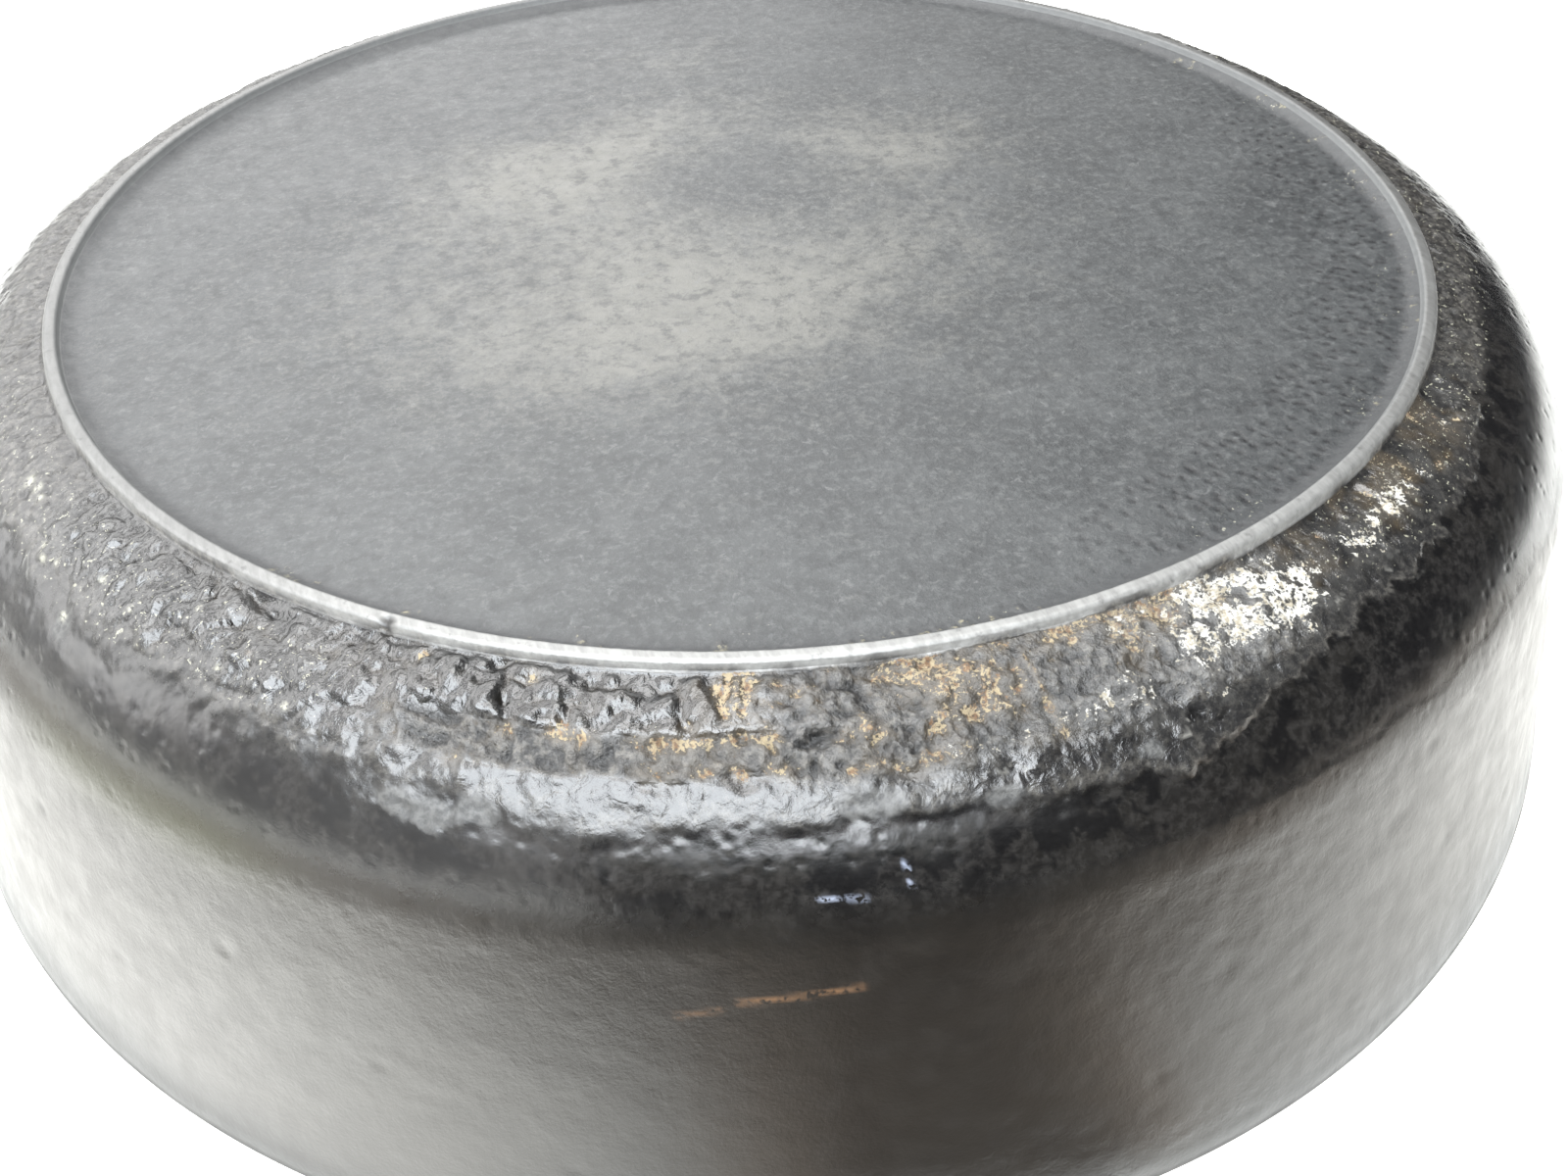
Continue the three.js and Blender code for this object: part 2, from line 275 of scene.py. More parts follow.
def blurred(field, reach):
    """The field averaged over a square of cells; it wraps round the pot but not down it."""
    total = sum(np.roll(field, k, axis=1) for k in range(-reach, reach + 1))
    padded = np.pad(total, ((reach, reach), (0, 0)), mode="edge")
    rows = field.shape[0]
    return sum(padded[k:k + rows] for k in range(2 * reach + 1)) / (2 * reach + 1) ** 2


def zone(azimuth, s, start, end, low, high, soft, edge, fade=None):
    """A soft-edged patch between two azimuths and two distances from the ring; fade softens its low side."""
    tail = fade or edge
    rows = smooth(s, low - edge, low + edge) * (1 - smooth(s, high - tail, high + tail))
    return sector(azimuth, start, end, soft) * rows


def heel_relief(azimuth, u, s):
    """Height over the bare iron and the masks, from the ring's foot down the heel and the wall."""
    plain = Around(u, s)
    wander = 1.3 * plain.fractal(7, 13, 2)
    drift = 1.5 * plain.fractal(8, 14, 2) / BAND_LENGTH
    band = Around(u + drift, s + wander)
    reach = turning(azimuth, CRUST_REACH)
    thick = turning(azimuth, CRUST_THICK)
    fade = turning(azimuth, CRUST_FADE)
    ragged = 2.0 * band.fractal(11, 11, 3) + 2.2 * band.fractal(3.4, 12, 4, gain=0.65)
    ragged += 1.1 * band.fractal(1.5, 18, 3, gain=0.65) * sector(azimuth, -100, -40, 12)
    inside = reach + ragged - s
    crust = smooth(inside, -0.15, fade)
    foot = smooth(s, -0.1, 1.0)

    # Where each kind of crust lies.
    line = 0.9 * band.fractal(5, 15, 3)
    lumps_here, plates_here, seam_here, sheet_here, rusty_here = (
        zone(azimuth, s + line, *edges)
        for edges in (LUMP_ZONE, PLATE_ZONE, SEAM_ZONE, SHEET_ZONE, RUSTY_ZONE)
    )
    flakes_here = zone(azimuth, s, *FLAKE_ZONE)
    named = lumps_here + plates_here + seam_here + sheet_here + rusty_here + flakes_here
    rest = np.clip(1 - named, 0, 1)

    # Layers of flakes: each ends along its own ragged line, with a thin broken lip.
    body = 0.55 + 0.45 * lumps_here + 0.2 * plates_here
    height = thick * smooth(inside, -0.15, 0.5 * fade + 0.2) * body
    broken_lip = smooth(band.fractal(4, 27, 3), -0.05, 0.3)
    lip = 0.6 * np.exp(-(((inside - 0.3) / 0.24) ** 2)) * smooth(2.0 - fade, 0, 0.7) * broken_lip**2
    for k, share in enumerate((0.30, 0.52, 0.76)):
        edge = share * reach + 1.3 * ragged + 1.6 * band.fractal(6, 20 + k, 3, gain=0.6) - s
        edge = edge + 0.9 * band.fractal(1.3, 60 + k, 3, gain=0.65)
        present = smooth(band.fractal(12, 24 + k, 2), -0.15, 0.15)
        height += 0.26 * present * smooth(edge, -0.05, 0.3) * np.clip(flakes_here + 0.4 * rest, 0, 1)
        along_edge = np.exp(-(((edge - 0.15) / 0.22) ** 2))
        lip = np.maximum(lip, present * flakes_here * broken_lip * along_edge)

    # Glossy lumps and blistered plates with sharp creases between them.
    big = rounded(band.fractal(7.0, 31, 3), 0.40)
    mid = rounded(band.fractal(3.8, 33, 3), 0.40)
    small = rounded(band.fractal(1.9, 35, 2), 0.5)
    peel = terraced(band.fractal(4.4, 39, 3, gain=0.5), 4, 0.22)
    fine_peel = terraced(band.fractal(2.4, 40, 2, gain=0.5), 3, 0.25)
    blister = band.domes(3.3, 38, 1.25, 0.8)
    lumpy = np.clip(lumps_here + plates_here, 0, 1) * crust
    for here, shares in ((lumps_here, LUMP_MIX), (plates_here * crust, PLATE_MIX), (rest * crust, REST_MIX)):
        height += foot * here * mixed(shares, (big, mid, blister, small, peel))
    height += (0.26 - 0.10 * lumps_here) * fine_peel * lumpy * foot
    crease = 1 - smooth(np.minimum(big, mid + 0.15), 0.05, 0.35)
    near, next_near, number = band.cells(3.6, 37, stretch=1.25, warp=1.1)
    split = (1 - smooth(next_near - near, 0.01, 0.12)) * smooth(band.fractal(4, 36, 2), -0.1, 0.3)
    height -= 0.14 * split * np.clip(lumps_here + 0.8 * plates_here, 0, 1) * crust
    height += 0.24 * (number - 0.5) * np.clip(0.4 * lumps_here + plates_here, 0, 1) * crust

    # The gritty seam, the smooth sheet under it and the rusty grit.
    grit = band.fractal(1.15, 41, 3, gain=0.65)
    coarse = rounded(band.fractal(2.4, 43, 3, gain=0.6), 0.4)
    for here, shares in ((seam_here, SEAM_MIX), (rusty_here, RUSTY_MIX), (flakes_here, FLAKE_MIX)):
        height += here * crust * mixed(shares, (grit, coarse, peel))
    upper_sheet = 0.22 * small * smooth(18 - s, 0, 4)
    height += sheet_here * crust * (0.26 * band.fractal(3.4, 45, 3) + upper_sheet + 0.15 * fine_peel)
    tears = smooth(np.abs(band.fractal(5.5, 47, 3)), 0.0, 0.09)
    torn_here = seam_here + 0.6 * rusty_here + 0.5 * sheet_here * smooth(15.5 - s, 0, 2)
    tear_line = (1 - tears) * np.clip(torn_here, 0, 1)
    height -= 0.55 * tear_line * crust

    # Broken-out hollows.
    pits = spots(azimuth + wander / DEGREE, s + wander, HOLLOWS)
    height -= 0.95 * np.clip(pits, 0, 1) * crust * (0.75 + 0.5 * grit)

    cavity = blurred(height, 4) - height if height.shape[0] > 9 else np.zeros_like(height)
    sunk = smooth(cavity, 0.03, 0.24) * crust
    proud = smooth(-cavity, 0.06, 0.25) * crust

    # Smooth heel band below the crust: scabs and fine pits.
    below = (1 - crust) * (1 - smooth(s, 30, 40))
    scab = smooth(plain.fractal(2.2, 71, 4, gain=0.6), 0.10, 0.22) * smooth(reach + 8 - s, 0, 8)
    p_near, _, p_number = plain.cells(1.9, 73)
    pit = (p_number > 0.75) * (1 - smooth(p_near, 0.08, 0.32))
    height += below * (0.05 * scab - 0.08 * pit + 0.02 * plain.fractal(3, 75, 3))

    # Pebbled casting skin on the wall, rougher on one side, with a soft ledge where it begins.
    rough_side = sector(azimuth, -96, -40, 20) + 0.4 * sector(azimuth, 0, 140, 40)
    wall = smooth(s, 24, 34)
    ledge = smooth(s - 27.5 - 2.6 * plain.fractal(13, 81, 4), -0.5, 0.7) * (1 - smooth(s, 30, 38))
    height += 0.09 * ledge * rough_side
    pebble = 0.062 * plain.fractal(4.2, 83, 4) + 0.026 * plain.fractal(1.5, 84, 2)
    dents = 0.16 * dots(azimuth, s, DENTS)
    height += wall * (pebble * (0.9 + 0.7 * rough_side) - dents)
    height += 0.14 * np.exp(-(((s - 83.0) / 1.6) ** 2))

    glossy = np.clip(lumps_here + plates_here + 0.9 * sheet_here + 0.9 * flakes_here + 0.5 * rest, 0, 1)
    matt = np.clip(seam_here + rusty_here, 0, 1)
    # Painted shade, partly soot, in creases, tears, splits, pits and sunken places; it darkens the crust's
    # colour there.
    soot_and_shade = 0.7 * tear_line + 0.25 * split * (lumps_here + plates_here) + 0.3 * crease * glossy + pits
    soot_and_shade = np.maximum(np.clip(soot_and_shade, 0, 1), sunk)
    crumbly = 0.55 + 0.7 * sunk + 0.25 * proud * matt
    stained = smooth(plain.fractal(2.4, 77, 4, gain=0.65), -0.02, 0.16) * (1 - smooth(s, 24, 33))
    return height, {
        "crust": crust,
        "gloss": glossy * (1 - 0.8 * matt) * crust,
        "matt": matt * crust,
        "sheet": sheet_here * crust,
        "lip": np.clip(lip, 0, 1) * foot,
        "hollow": soot_and_shade * crust,
        "proud": proud,
        "rust": np.clip(rust_mask(azimuth, s, band) * crumbly, 0, 1) * smooth(inside, -0.5, 0.5),
        "ash": ash_mask(azimuth, s, band) * smooth(inside, -0.5, 0.5),
        "speck": speck_mask(azimuth, s) * smooth(inside, -2, 2),
        "scab": stained * (1 - crust),
        "wall": wall,
        "patch": patch_mask(azimuth, s, plain) * (1 - smooth(s, 22, 24)),
        "chip": np.clip(1.3 * dots(azimuth, s, CHIPS), 0, 1),
        "moss": sector(azimuth, -152, -134, 10) * spot(s, 0, 31.0, 0, 4.5, 1),
        "score": np.clip(strokes(azimuth, s, LONG_SCORE) + 0.5 * strokes(azimuth, s, SHORT_SCORE), 0, 1),
        "spark": np.clip(strokes(azimuth, s, KNOCKS), 0, 1),
    }


# Hollows broken out of the crust: azimuth, distance from the ring, half width and height, depth share.
HOLLOWS = [
    (-96.5, 8.6, 1.5, 2.2, 1.0), (-93.9, 10.2, 1.0, 1.6, 0.9), (-90.6, 7.6, 1.6, 1.4, 0.8),
    (-86.0, 12.0, 1.3, 1.2, 0.9), (-101.0, 13.4, 2.0, 0.8, 0.6), (-109.0, 12.6, 2.6, 0.7, 0.8),
    (-116.5, 11.6, 1.6, 0.8, 0.6), (-72.5, 8.5, 2.2, 1.0, 0.6), (-64.0, 9.0, 1.6, 1.2, 0.6),
    (-79.5, 13.0, 2.2, 0.9, 0.5),
    (-162.5, 8.2, 1.0, 0.8, 0.9), (-138.0, 1.4, 5.0, 0.8, 0.6), (-148.0, 1.6, 4.5, 0.7, 0.5),
]
# Small dents in the wall: azimuth, distance from the ring, radius.
DENTS = [
    (-84, 52, 1.6), (-79, 60, 1.2), (-72, 44, 1.8), (-66, 57, 1.5), (-61, 50, 1.1), (-57, 66, 1.4),
    (-88, 66, 1.3), (-128, 58, 1.1), (-137, 48, 1.2), (-146, 62, 1.3), (-152, 45, 1.0), (-118, 70, 1.2),
    (-69, 36, 1.4), (-50, 42, 1.3), (20, 52, 1.5), (48, 60, 1.3), (75, 48, 1.4), (101, 63, 1.2),
    (130, 50, 1.4), (155, 62, 1.2), (-20, 48, 1.2),
]


def rust_mask(azimuth, s, band):
    """Rust by the ring, along the seams, at the right and thinly elsewhere."""
    by_ring = sector(azimuth, -111, -77, 6) * (1.05 - smooth(s, 2.5, 11))
    both_seams = 0.6 * spot(s, 0, 8.6, 0, 1.1, 1) + 0.6 * spot(s, 0, 12.4, 0, 1.3, 1)
    seams = sector(azimuth, -128, -90, 8) * both_seams
    right = sector(azimuth, -78, -44, 10) * (1 - smooth(s, 5, 11)) * 0.8
    haze = 0.22 * sector(azimuth, -150, -96, 20) * (1 - smooth(s, 10, 17))
    rest = 0.22 * sector(azimuth, -40, 200, 40) * (1 - smooth(s, 2, 9))
    broken = smooth(band.fractal(4.5, 91, 4, gain=0.65), -0.35, 0.4)
    strong = dots(azimuth, s, RUST_DOTS) + 0.8 * strokes(azimuth, s, TAN_LINE)
    return np.clip((by_ring + seams + right + haze + rest) * broken + strong, 0, 1)


# Tan line across the crust: start and end as (azimuth, distance from the ring), and width.
TAN_LINE = [((-92.6, 3.0), (-92.0, 12.5), 0.5)]
# Strong rusty dots: azimuth, distance from the ring, radius.
RUST_DOTS = [
    (-138, 8.0, 0.5), (-128, 1.6, 0.6), (-121, 2.0, 0.8), (-119, 8.0, 1.2), (-117.6, 8.9, 0.8),
    (-110, 2.0, 0.9), (-107, 2.2, 0.8), (-109, 12.2, 0.9), (-113.5, 9.6, 0.5), (-103.4, 12.8, 0.8),
    (-99.5, 11.8, 0.5),
]


# Ash: azimuth, distance from the ring, half width in degrees, half height, strength.
ASH = [
    (-79.5, 3.5, 5.0, 5.5, 1.0), (-75.0, 8.0, 3.0, 5.0, 0.9), (-86, 2.0, 4.0, 2.5, 0.5),
    (-65, 6.5, 6.5, 4.0, 0.75), (-50, 4.0, 10.0, 4.5, 0.5), (-84.0, 9.0, 5.0, 3.0, 0.5),
    (-97, 12.0, 4.0, 1.5, 0.75),
    (-89, 10.5, 4.5, 2.4, 0.65), (-83, 14.5, 5.0, 1.8, 0.55),
]


def ash_mask(azimuth, s, band):
    """Whitish ash at the right of the crust."""
    total = sum(power * spot(azimuth, s, *place) for *place, power in ASH)
    return np.clip(total * smooth(band.fractal(3.0, 95, 4, gain=0.65), -0.45, 0.25), 0, 1)


def speck_mask(azimuth, s):
    """Where the crust carries fine pale specks."""
    left = 1.5 * sector(azimuth, -176, -132, 16) * smooth(s, 2, 4) * (1 - smooth(s, 11, 17))
    right = 1.2 * sector(azimuth, -70, 25, 14) * smooth(s, -1, 1) * (1 - smooth(s, 7, 17))
    return np.clip(left + right + 0.35 * sector(azimuth, -130, 200, 10) * (1 - smooth(s, 8, 14)), 0, 1)


def patch_mask(azimuth, s, plain):
    """Matt grey patches where a flake has come off."""
    return smooth(spots(azimuth, s, PATCHES) + 0.45 * plain.fractal(2.0, 97, 3), 0.35, 0.55)


# Matt patches: azimuth, distance from the ring, half width, half height, strength.
PATCHES = [
    (-125.5, 19.2, 5.0, 1.9, 1.0), (-122.0, 18.0, 3.0, 1.4, 0.8), (-102.2, 16.4, 4.2, 2.0, 1.1),
    (-96.0, 17.6, 2.6, 1.4, 0.9), (-151.5, 16.0, 1.8, 1.8, 0.8), (-88.0, 17.0, 3.0, 1.2, 0.7),
]


# Whitish chips: azimuth, distance from the ring, radius.
CHIPS = [
    (-163.2, 7.0, 0.8), (-162.0, 6.6, 0.6), (-161.0, 7.2, 0.5), (-157.0, 10.4, 0.4), (-156.2, 11.6, 0.4),
    (-155.0, 10.9, 0.35), (-150.8, 8.8, 0.4), (-147.2, 9.6, 0.35), (-143.0, 5.6, 0.35), (-151.8, 15.2, 0.5),
    (-134.2, 12.0, 0.35), (-139.4, 10.8, 0.35),
]


# Long thin rusty score on the wall: start and end as (azimuth, distance from the ring), and width.
LONG_SCORE = [((-109.5, 40.3), (-103.6, 39.0), 0.35)]
SHORT_SCORE = [((-112.5, 42.3), (-110.4, 41.4), 0.35)]
# Small bright knocks on the heel, in the same way.
KNOCKS = [
    ((-105.5, 26.4), (-104.7, 26.5), 0.24), ((-104.2, 26.7), (-103.3, 26.8), 0.24),
    ((-101.4, 23.2), (-101.2, 24.2), 0.22), ((-101.2, 25.4), (-101.1, 25.9), 0.2),
]


# Pale worn lobes on the flat base: centre x and y, half widths, strength.
PALE_LOBES = [
    (-27, 28, 25, 16, 0.85), (-4, 41, 24, 13, 0.5), (35, 16, 19, 16, 0.75), (-22, -33, 36, 20, 0.75),
    (-50, -6, 30, 26, 0.3), (12, -20, 24, 15, 0.4), (9, 69, 14, 10, 0.45), (-16, -5, 20, 26, 0.4),
    (-8, 0, 70, 55, 0.2),
]
DARK_ISLAND = (6, 16, 15, 12)


# Where the fillet at the ring's inner foot begins and is full.
FILLET_START, FILLET_END = 105.8, 109.8


def inner_fillet(r):
    """How high the dirt stands in the corner at the ring's inner foot."""
    return INNER_FILL * smooth(r, FILLET_START, FILLET_END) ** 2


def base_relief(x, y):
    """Height and masks over the flat base inside the ring."""
    r = np.hypot(x, y)
    azimuth = np.degrees(np.arctan2(y, x))
    wx = x + 7 * fractal(x / 13 + 40, y / 13 + 40, 101, 3)
    wy = y + 7 * fractal(x / 13 + 90, y / 13 + 90, 102, 3)
    pale = sum(power * spot(wx, wy, cx, cy, rx, ry) for cx, cy, rx, ry, power in PALE_LOBES)
    pale = np.clip(pale * (1 - 0.75 * spot(wx, wy, *DARK_ISLAND)), 0, 1)
    pitted = sector(azimuth, -84, 8, 26) * smooth(r, 84, 97) * (1 - smooth(r, 107.5, 109))
    pitted = np.maximum(pitted, 0.35 * smooth(r, 98, 105) * (1 - smooth(r, 107.5, 109)))
    near, _, number = cells(x / 2.1 + 200, y / 2.1 + 200, 111)
    pit = pitted * (number < 0.15 + 0.5 * pitted) * (1 - smooth(near, 0.08, 0.40))
    # A shallow groove inside the ring; as a mask it darkens the colour there, partly grime and partly painted
    # shade.
    groove = smooth(r, 103.5, 108.5)
    crumb_near, _, crumb_number = cells(x / 1.1 + 300, y / 1.1 + 300, 121)
    clusters = smooth(fractal(x / 7 + 350, y / 7 + 350, 123, 2), -0.1, 0.4)
    crumb_here = (sector(azimuth, -150, -82, 12) + 0.6 * sector(azimuth, -70, 20, 12)) * clusters
    crumb_here = crumb_here * smooth(r, FILLET_START, 108.6)
    crumb = (crumb_number < 0.55 * crumb_here) * (1 - smooth(crumb_near, 0.1, 0.55))
    height = 0.06 * fractal(x / 22 + 60, y / 22 + 60, 131, 3) - 0.12 * pit - 0.12 * groove + 0.18 * crumb
    height = height * (1 - smooth(r, 109.2, RING_INNER)) + inner_fillet(r)
    tan = (1.05 * sector(azimuth, -80, 30, 30) + 0.7 * sector(azimuth, -150, -80, 20)) * smooth(r, 97, 106)
    tan = tan * (0.15 + 0.85 * clusters)
    return height, {
        "base": np.ones_like(r), "pale": pale, "groove": groove, "pit": pit, "crumb": crumb,
        "speck": tan * (1 - smooth(r, 108.5, RING_INNER)),
    }


NICK_AZIMUTH = -131.0
# How much crust and dirt fills the corners at the ring's outer and inner foot.
RING_FILL = 1.35
INNER_FILL = 0.9
RING_ROWS = 15
# How bright the ring's top is worn, by azimuth.
RING_WEAR = [
    (-180, 0.35), (-150, 0.45), (-135, 0.85), (-100, 1.0), (-75, 0.85), (-50, 0.5), (-10, 0.3), (60, 0.25),
    (120, 0.25),
]


def ring_relief(azimuth, u, t):
    """Height and masks over the heat ring. t runs from its inner foot (0) to its outer foot (1)."""
    top = smooth(t, 0.02, 0.14) * (1 - smooth(t + 0.10 * noise(u * 210, t * 2, 147, 210), 0.94, 1.08))
    nick = np.exp(-((around_gap(azimuth, NICK_AZIMUTH) / 0.5) ** 2)) * smooth(t, 0.25, 0.6)
    marks = noise(u * 900, t * 1.2, 141, 900)
    filed = sector(azimuth, -125, -50, 16)
    wave = 0.05 * noise(u * 90, t * 0 + 0.5, 143, 90)
    height = top * (wave + 0.025 * (0.4 + filed) * marks) - 0.6 * nick
    chips = (noise(u * 230, t * 1.5, 145, 230) > 0.66) * smooth(t, 0.66, 0.9)
    height = height - 0.14 * chips
    return height, {
        "ring": top * turning(azimuth, RING_WEAR), "flank": 1 - smooth(t, 0.08, 0.3), "nick": nick,
        "crust": smooth(t, 0.85, 1.0),
    }


# ---------------------------------------------------------------- the pot's skin as rows of vertices
def heel_and_wall(s):
    """Radius, height and outward normal of the bare outside at distance s from the ring's outer foot."""
    angle = math.pi / 2 - HEEL_START - np.minimum(s, HEEL_ARC) / HEEL_RADIUS
    down = np.maximum(s - HEEL_ARC, 0)
    r = HEEL_CENTRE_R + HEEL_RADIUS * np.cos(angle) + down * math.sin(WALL_LEAN)
    z = HEEL_CENTRE_Z + HEEL_RADIUS * np.sin(angle) - down * math.cos(WALL_LEAN)
    return r, z, np.cos(angle), np.sin(angle)


def wall_radius(z):
    """Radius of the bare wall's outside at a height."""
    return RIM_RADIUS - WALL_DRAFT * (z - RIM_Z)


class Skin:
    """Rows of vertices from the middle of the base, over the ring, down the wall and back up the inside."""

    def __init__(self):
        self.points, self.counts, self.masks = [], [], []

    def add(self, rows, count, place):
        """place(azimuth, u, row values) gives x, y, z and masks for a block of rows."""
        u = (np.arange(count) / count)[None, :] + 0 * np.asarray(rows)[:, None]
        value = np.asarray(rows)[:, None] + 0 * u
        x, y, z, masks = place(360 * u - 180, u, value)
        for i in range(len(rows)):
            self.points.append(np.stack([x[i], y[i], z[i]], axis=1))
            self.counts.append(count)
            self.masks.append({name: field[i] for name, field in masks.items()})

    def faces(self):
        """Quads between rows of one size, and three triangles for two columns where the size halves."""
        starts = np.concatenate([[0], np.cumsum(self.counts)])
        quads, tris = [], []
        for i in range(len(self.counts) - 1):
            n, m, a, b = self.counts[i], self.counts[i + 1], starts[i], starts[i + 1]
            if n == m:
                j = np.arange(n)
                k = (j + 1) % n
                quads.append(np.stack([a + j, b + j, b + k, a + k], axis=1))
            elif m == 2 * n:
                j = np.arange(n)
                k = (j + 1) % n
                tris.append(np.stack([a + j, b + 2 * j, b + 2 * j + 1], axis=1))
                tris.append(np.stack([a + j, b + 2 * j + 1, a + k], axis=1))
                tris.append(np.stack([a + k, b + 2 * j + 1, b + (2 * j + 2) % m], axis=1))
            else:
                j = np.arange(m)
                k = (j + 1) % m
                tris.append(np.stack([a + 2 * j, b + j, a + 2 * j + 1], axis=1))
                tris.append(np.stack([a + 2 * j + 1, b + j, b + k], axis=1))
                tris.append(np.stack([a + 2 * j + 1, b + k, a + (2 * j + 2) % n], axis=1))
        for row, turned in ((0, False), (len(self.counts) - 1, True)):
            n, a = self.counts[row], starts[row]
            j = np.arange(1, n - 1)
            fan = np.stack([a + 0 * j, a + j, a + j + 1], axis=1)
            tris.append(fan[:, ::-1] if turned else fan)
        return np.concatenate(quads), np.concatenate(tris)

    def build(self, name):
        points = np.concatenate(self.points) * MM
        quads, tris = self.faces()
        mesh = mesh_from(name, points, quads, tris)
        names = sorted({key for row in self.masks for key in row})
        for key in names:
            values = [row.get(key, np.zeros(n)) for row, n in zip(self.masks, self.counts)]
            store(mesh, key, np.concatenate(values))
        return piece(name, mesh)


def store(mesh, key, values):
    """Keeps one number for each vertex, which the materials read as a mask."""
    mesh.attributes.new(key, "FLOAT", "POINT").data.foreach_set("value", values.astype(np.float32))


def turn_outward(mesh):
    """Turns a closed mesh's faces to look outward."""
    bm = bmesh.new()
    bm.from_mesh(mesh)
    bmesh.ops.recalc_face_normals(bm, faces=bm.faces)
    bm.to_mesh(mesh)
    bm.free()


def mesh_from(name, points, quads, tris=None):
    """A smooth-shaded mesh from points in metres, quads and triangles."""
    mesh = bpy.data.meshes.new(name)
    mesh.vertices.add(len(points))
    mesh.vertices.foreach_set("co", np.asarray(points, np.float32).ravel())
    parts = [np.asarray(quads, np.int32)]
    if tris is not None and len(tris):
        parts.append(np.asarray(tris, np.int32))
    loops = np.concatenate([part.ravel() for part in parts])
    sizes = np.concatenate([np.full(len(part), part.shape[1]) for part in parts])
    mesh.loops.add(len(loops))
    mesh.loops.foreach_set("vertex_index", loops)
    mesh.polygons.add(len(sizes))
    mesh.polygons.foreach_set("loop_start", np.concatenate([[0], np.cumsum(sizes)[:-1]]).astype(np.int32))
    mesh.polygons.foreach_set("use_smooth", np.ones(len(sizes), bool))
    mesh.update(calc_edges=True)
    mesh.validate()
    return mesh


def piece(name, mesh):
    obj = bpy.data.objects.new(name, mesh)
    bpy.context.scene.collection.objects.link(obj)
    return obj


def polar(azimuth, r, z):
    a = np.radians(azimuth)
    return r * np.cos(a), r * np.sin(a), z


def place_base(azimuth, u, r):
    x, y, _ = polar(azimuth, r, r)
    height, masks = base_relief(x, y)
    return x, y, height, masks


def place_ring(azimuth, u, t):
    """The ring's section is a low bead with a worn, slightly flattened top."""
    width = RING_OUTER - RING_INNER
    lift = np.clip(1 - np.abs(2 * t - 1) ** 4, 0, 1) ** 0.5
    inner_foot = inner_fillet(RING_INNER) * (1 - smooth(t, 0.0, 0.5))
    foot = (SHOULDER_Z + RING_FILL) * smooth(t, 0.5, 1.0) + inner_foot
    relief, masks = ring_relief(azimuth, u, t)
    z = foot + (RING_TOP - foot) * lift + relief
    x, y, z = polar(azimuth, RING_INNER + width * t, z)
    return x, y, z, masks


def place_heel(azimuth, u, s):
    r, z, out, up = heel_and_wall(s)
    height, masks = heel_relief(azimuth, u, s)
    height = height * smooth(s, -0.4, 0.9) + RING_FILL * (1 - smooth(s, -0.4, 0.9))
    x, y, z = polar(azimuth, r + out * height, z + up * height)
    return x, y, z, masks


def inner_profile():
    """Radius and height from the rim's flat, through the lid seat, up the inside to the middle."""
    seat_z = RIM_Z + REBATE_DEPTH
    run = WALL_THICKNESS / math.cos(WALL_LEAN)
    inner_heel = HEEL_RADIUS - WALL_THICKNESS
    points = [(REBATE_RADIUS, RIM_Z), (REBATE_RADIUS, seat_z - 0.4), (REBATE_RADIUS - 0.4, seat_z)]
    points += [(SEAT_RADIUS + 0.6, seat_z), (SEAT_RADIUS, seat_z + 0.6), (SEAT_RADIUS, seat_z + SEAT_HEIGHT)]
    top = HEEL_CENTRE_Z + inner_heel * math.sin(WALL_LEAN)
    for z in np.arange(seat_z + SEAT_HEIGHT + 8, top, 2.0):
        points.append((wall_radius(z) - run, z))
    for angle in np.linspace(WALL_LEAN, math.pi / 2, 16):
        out, up = inner_heel * math.cos(angle), inner_heel * math.sin(angle)
        points.append((HEEL_CENTRE_R + out, HEEL_CENTRE_Z + up))
    for r in np.arange(HEEL_CENTRE_R - 2.5, 2.0, -2.5):
        points.append((r, points[-1][1]))
    return np.array(points)


def place_inside(azimuth, u, index):
    r, z = inner_profile()[index.astype(int)].transpose(2, 0, 1)
    x, y, _ = polar(azimuth, r, z)
    grain = 0.05 * fractal(x / 5 + 70, y / 5 + z / 5 + 70, 151, 3)
    return x, y, z + smooth(index, 6, 9) * grain, {"inside": np.ones_like(r)}


# Rows of the base: first and last radius, step, and what one turn's vertex count is divided by.
BASE_ROWS = [(1.0, 15.0, 1.5, 8), (15.0, 40.0, 1.0, 4), (40.0, 94.0, 0.9, 2), (94.0, RING_INNER, 0.55, 1)]
# The rim's outer edge: distance in from the rim's radius and height over the table.
RIM_ROUNDING = [(0.0, 0.7), (0.18, 0.3), (0.5, 0.07), (1.0, 0.0)]
# Rows of the inside up to here are as fine as the lid seat's.
SEAT_ROWS = 7.0


def place_rim(azimuth, u, index):
    table = np.array(RIM_ROUNDING + [(RIM_RADIUS - REBATE_RADIUS - 0.4, 0.0)])
    inward, up = table[index.astype(int)].transpose(2, 0, 1)
    x, y, z = polar(azimuth, RIM_RADIUS - inward, RIM_Z + up)
    return x, y, z, {"wall": np.ones_like(index)}


def make_pot_skin():
    skin = Skin()
    for start, end, step, divisor in BASE_ROWS:
        skin.add(np.arange(start, end, step), TURN // divisor, place_base)
    skin.add(np.linspace(0, 1, RING_ROWS), TURN, place_ring)
    length = HEEL_ARC + (HEEL_CENTRE_Z + HEEL_RADIUS * math.sin(WALL_LEAN) - RIM_Z) / math.cos(WALL_LEAN)
    for start, end, step in ((0.15, 24.0, 0.4), (24.0, 38.0, 0.5), (38.0, length - RIM_ROUNDING[0][1], 0.65)):
        skin.add(np.arange(start, end, step), TURN, place_heel)
    skin.add(np.arange(len(RIM_ROUNDING) + 1.0), TURN, place_rim)
    skin.add(np.arange(SEAT_ROWS), TURN // 2, place_inside)
    skin.add(np.arange(SEAT_ROWS, len(inner_profile())), TURN // 4, place_inside)
    return skin.build("pot_skin")


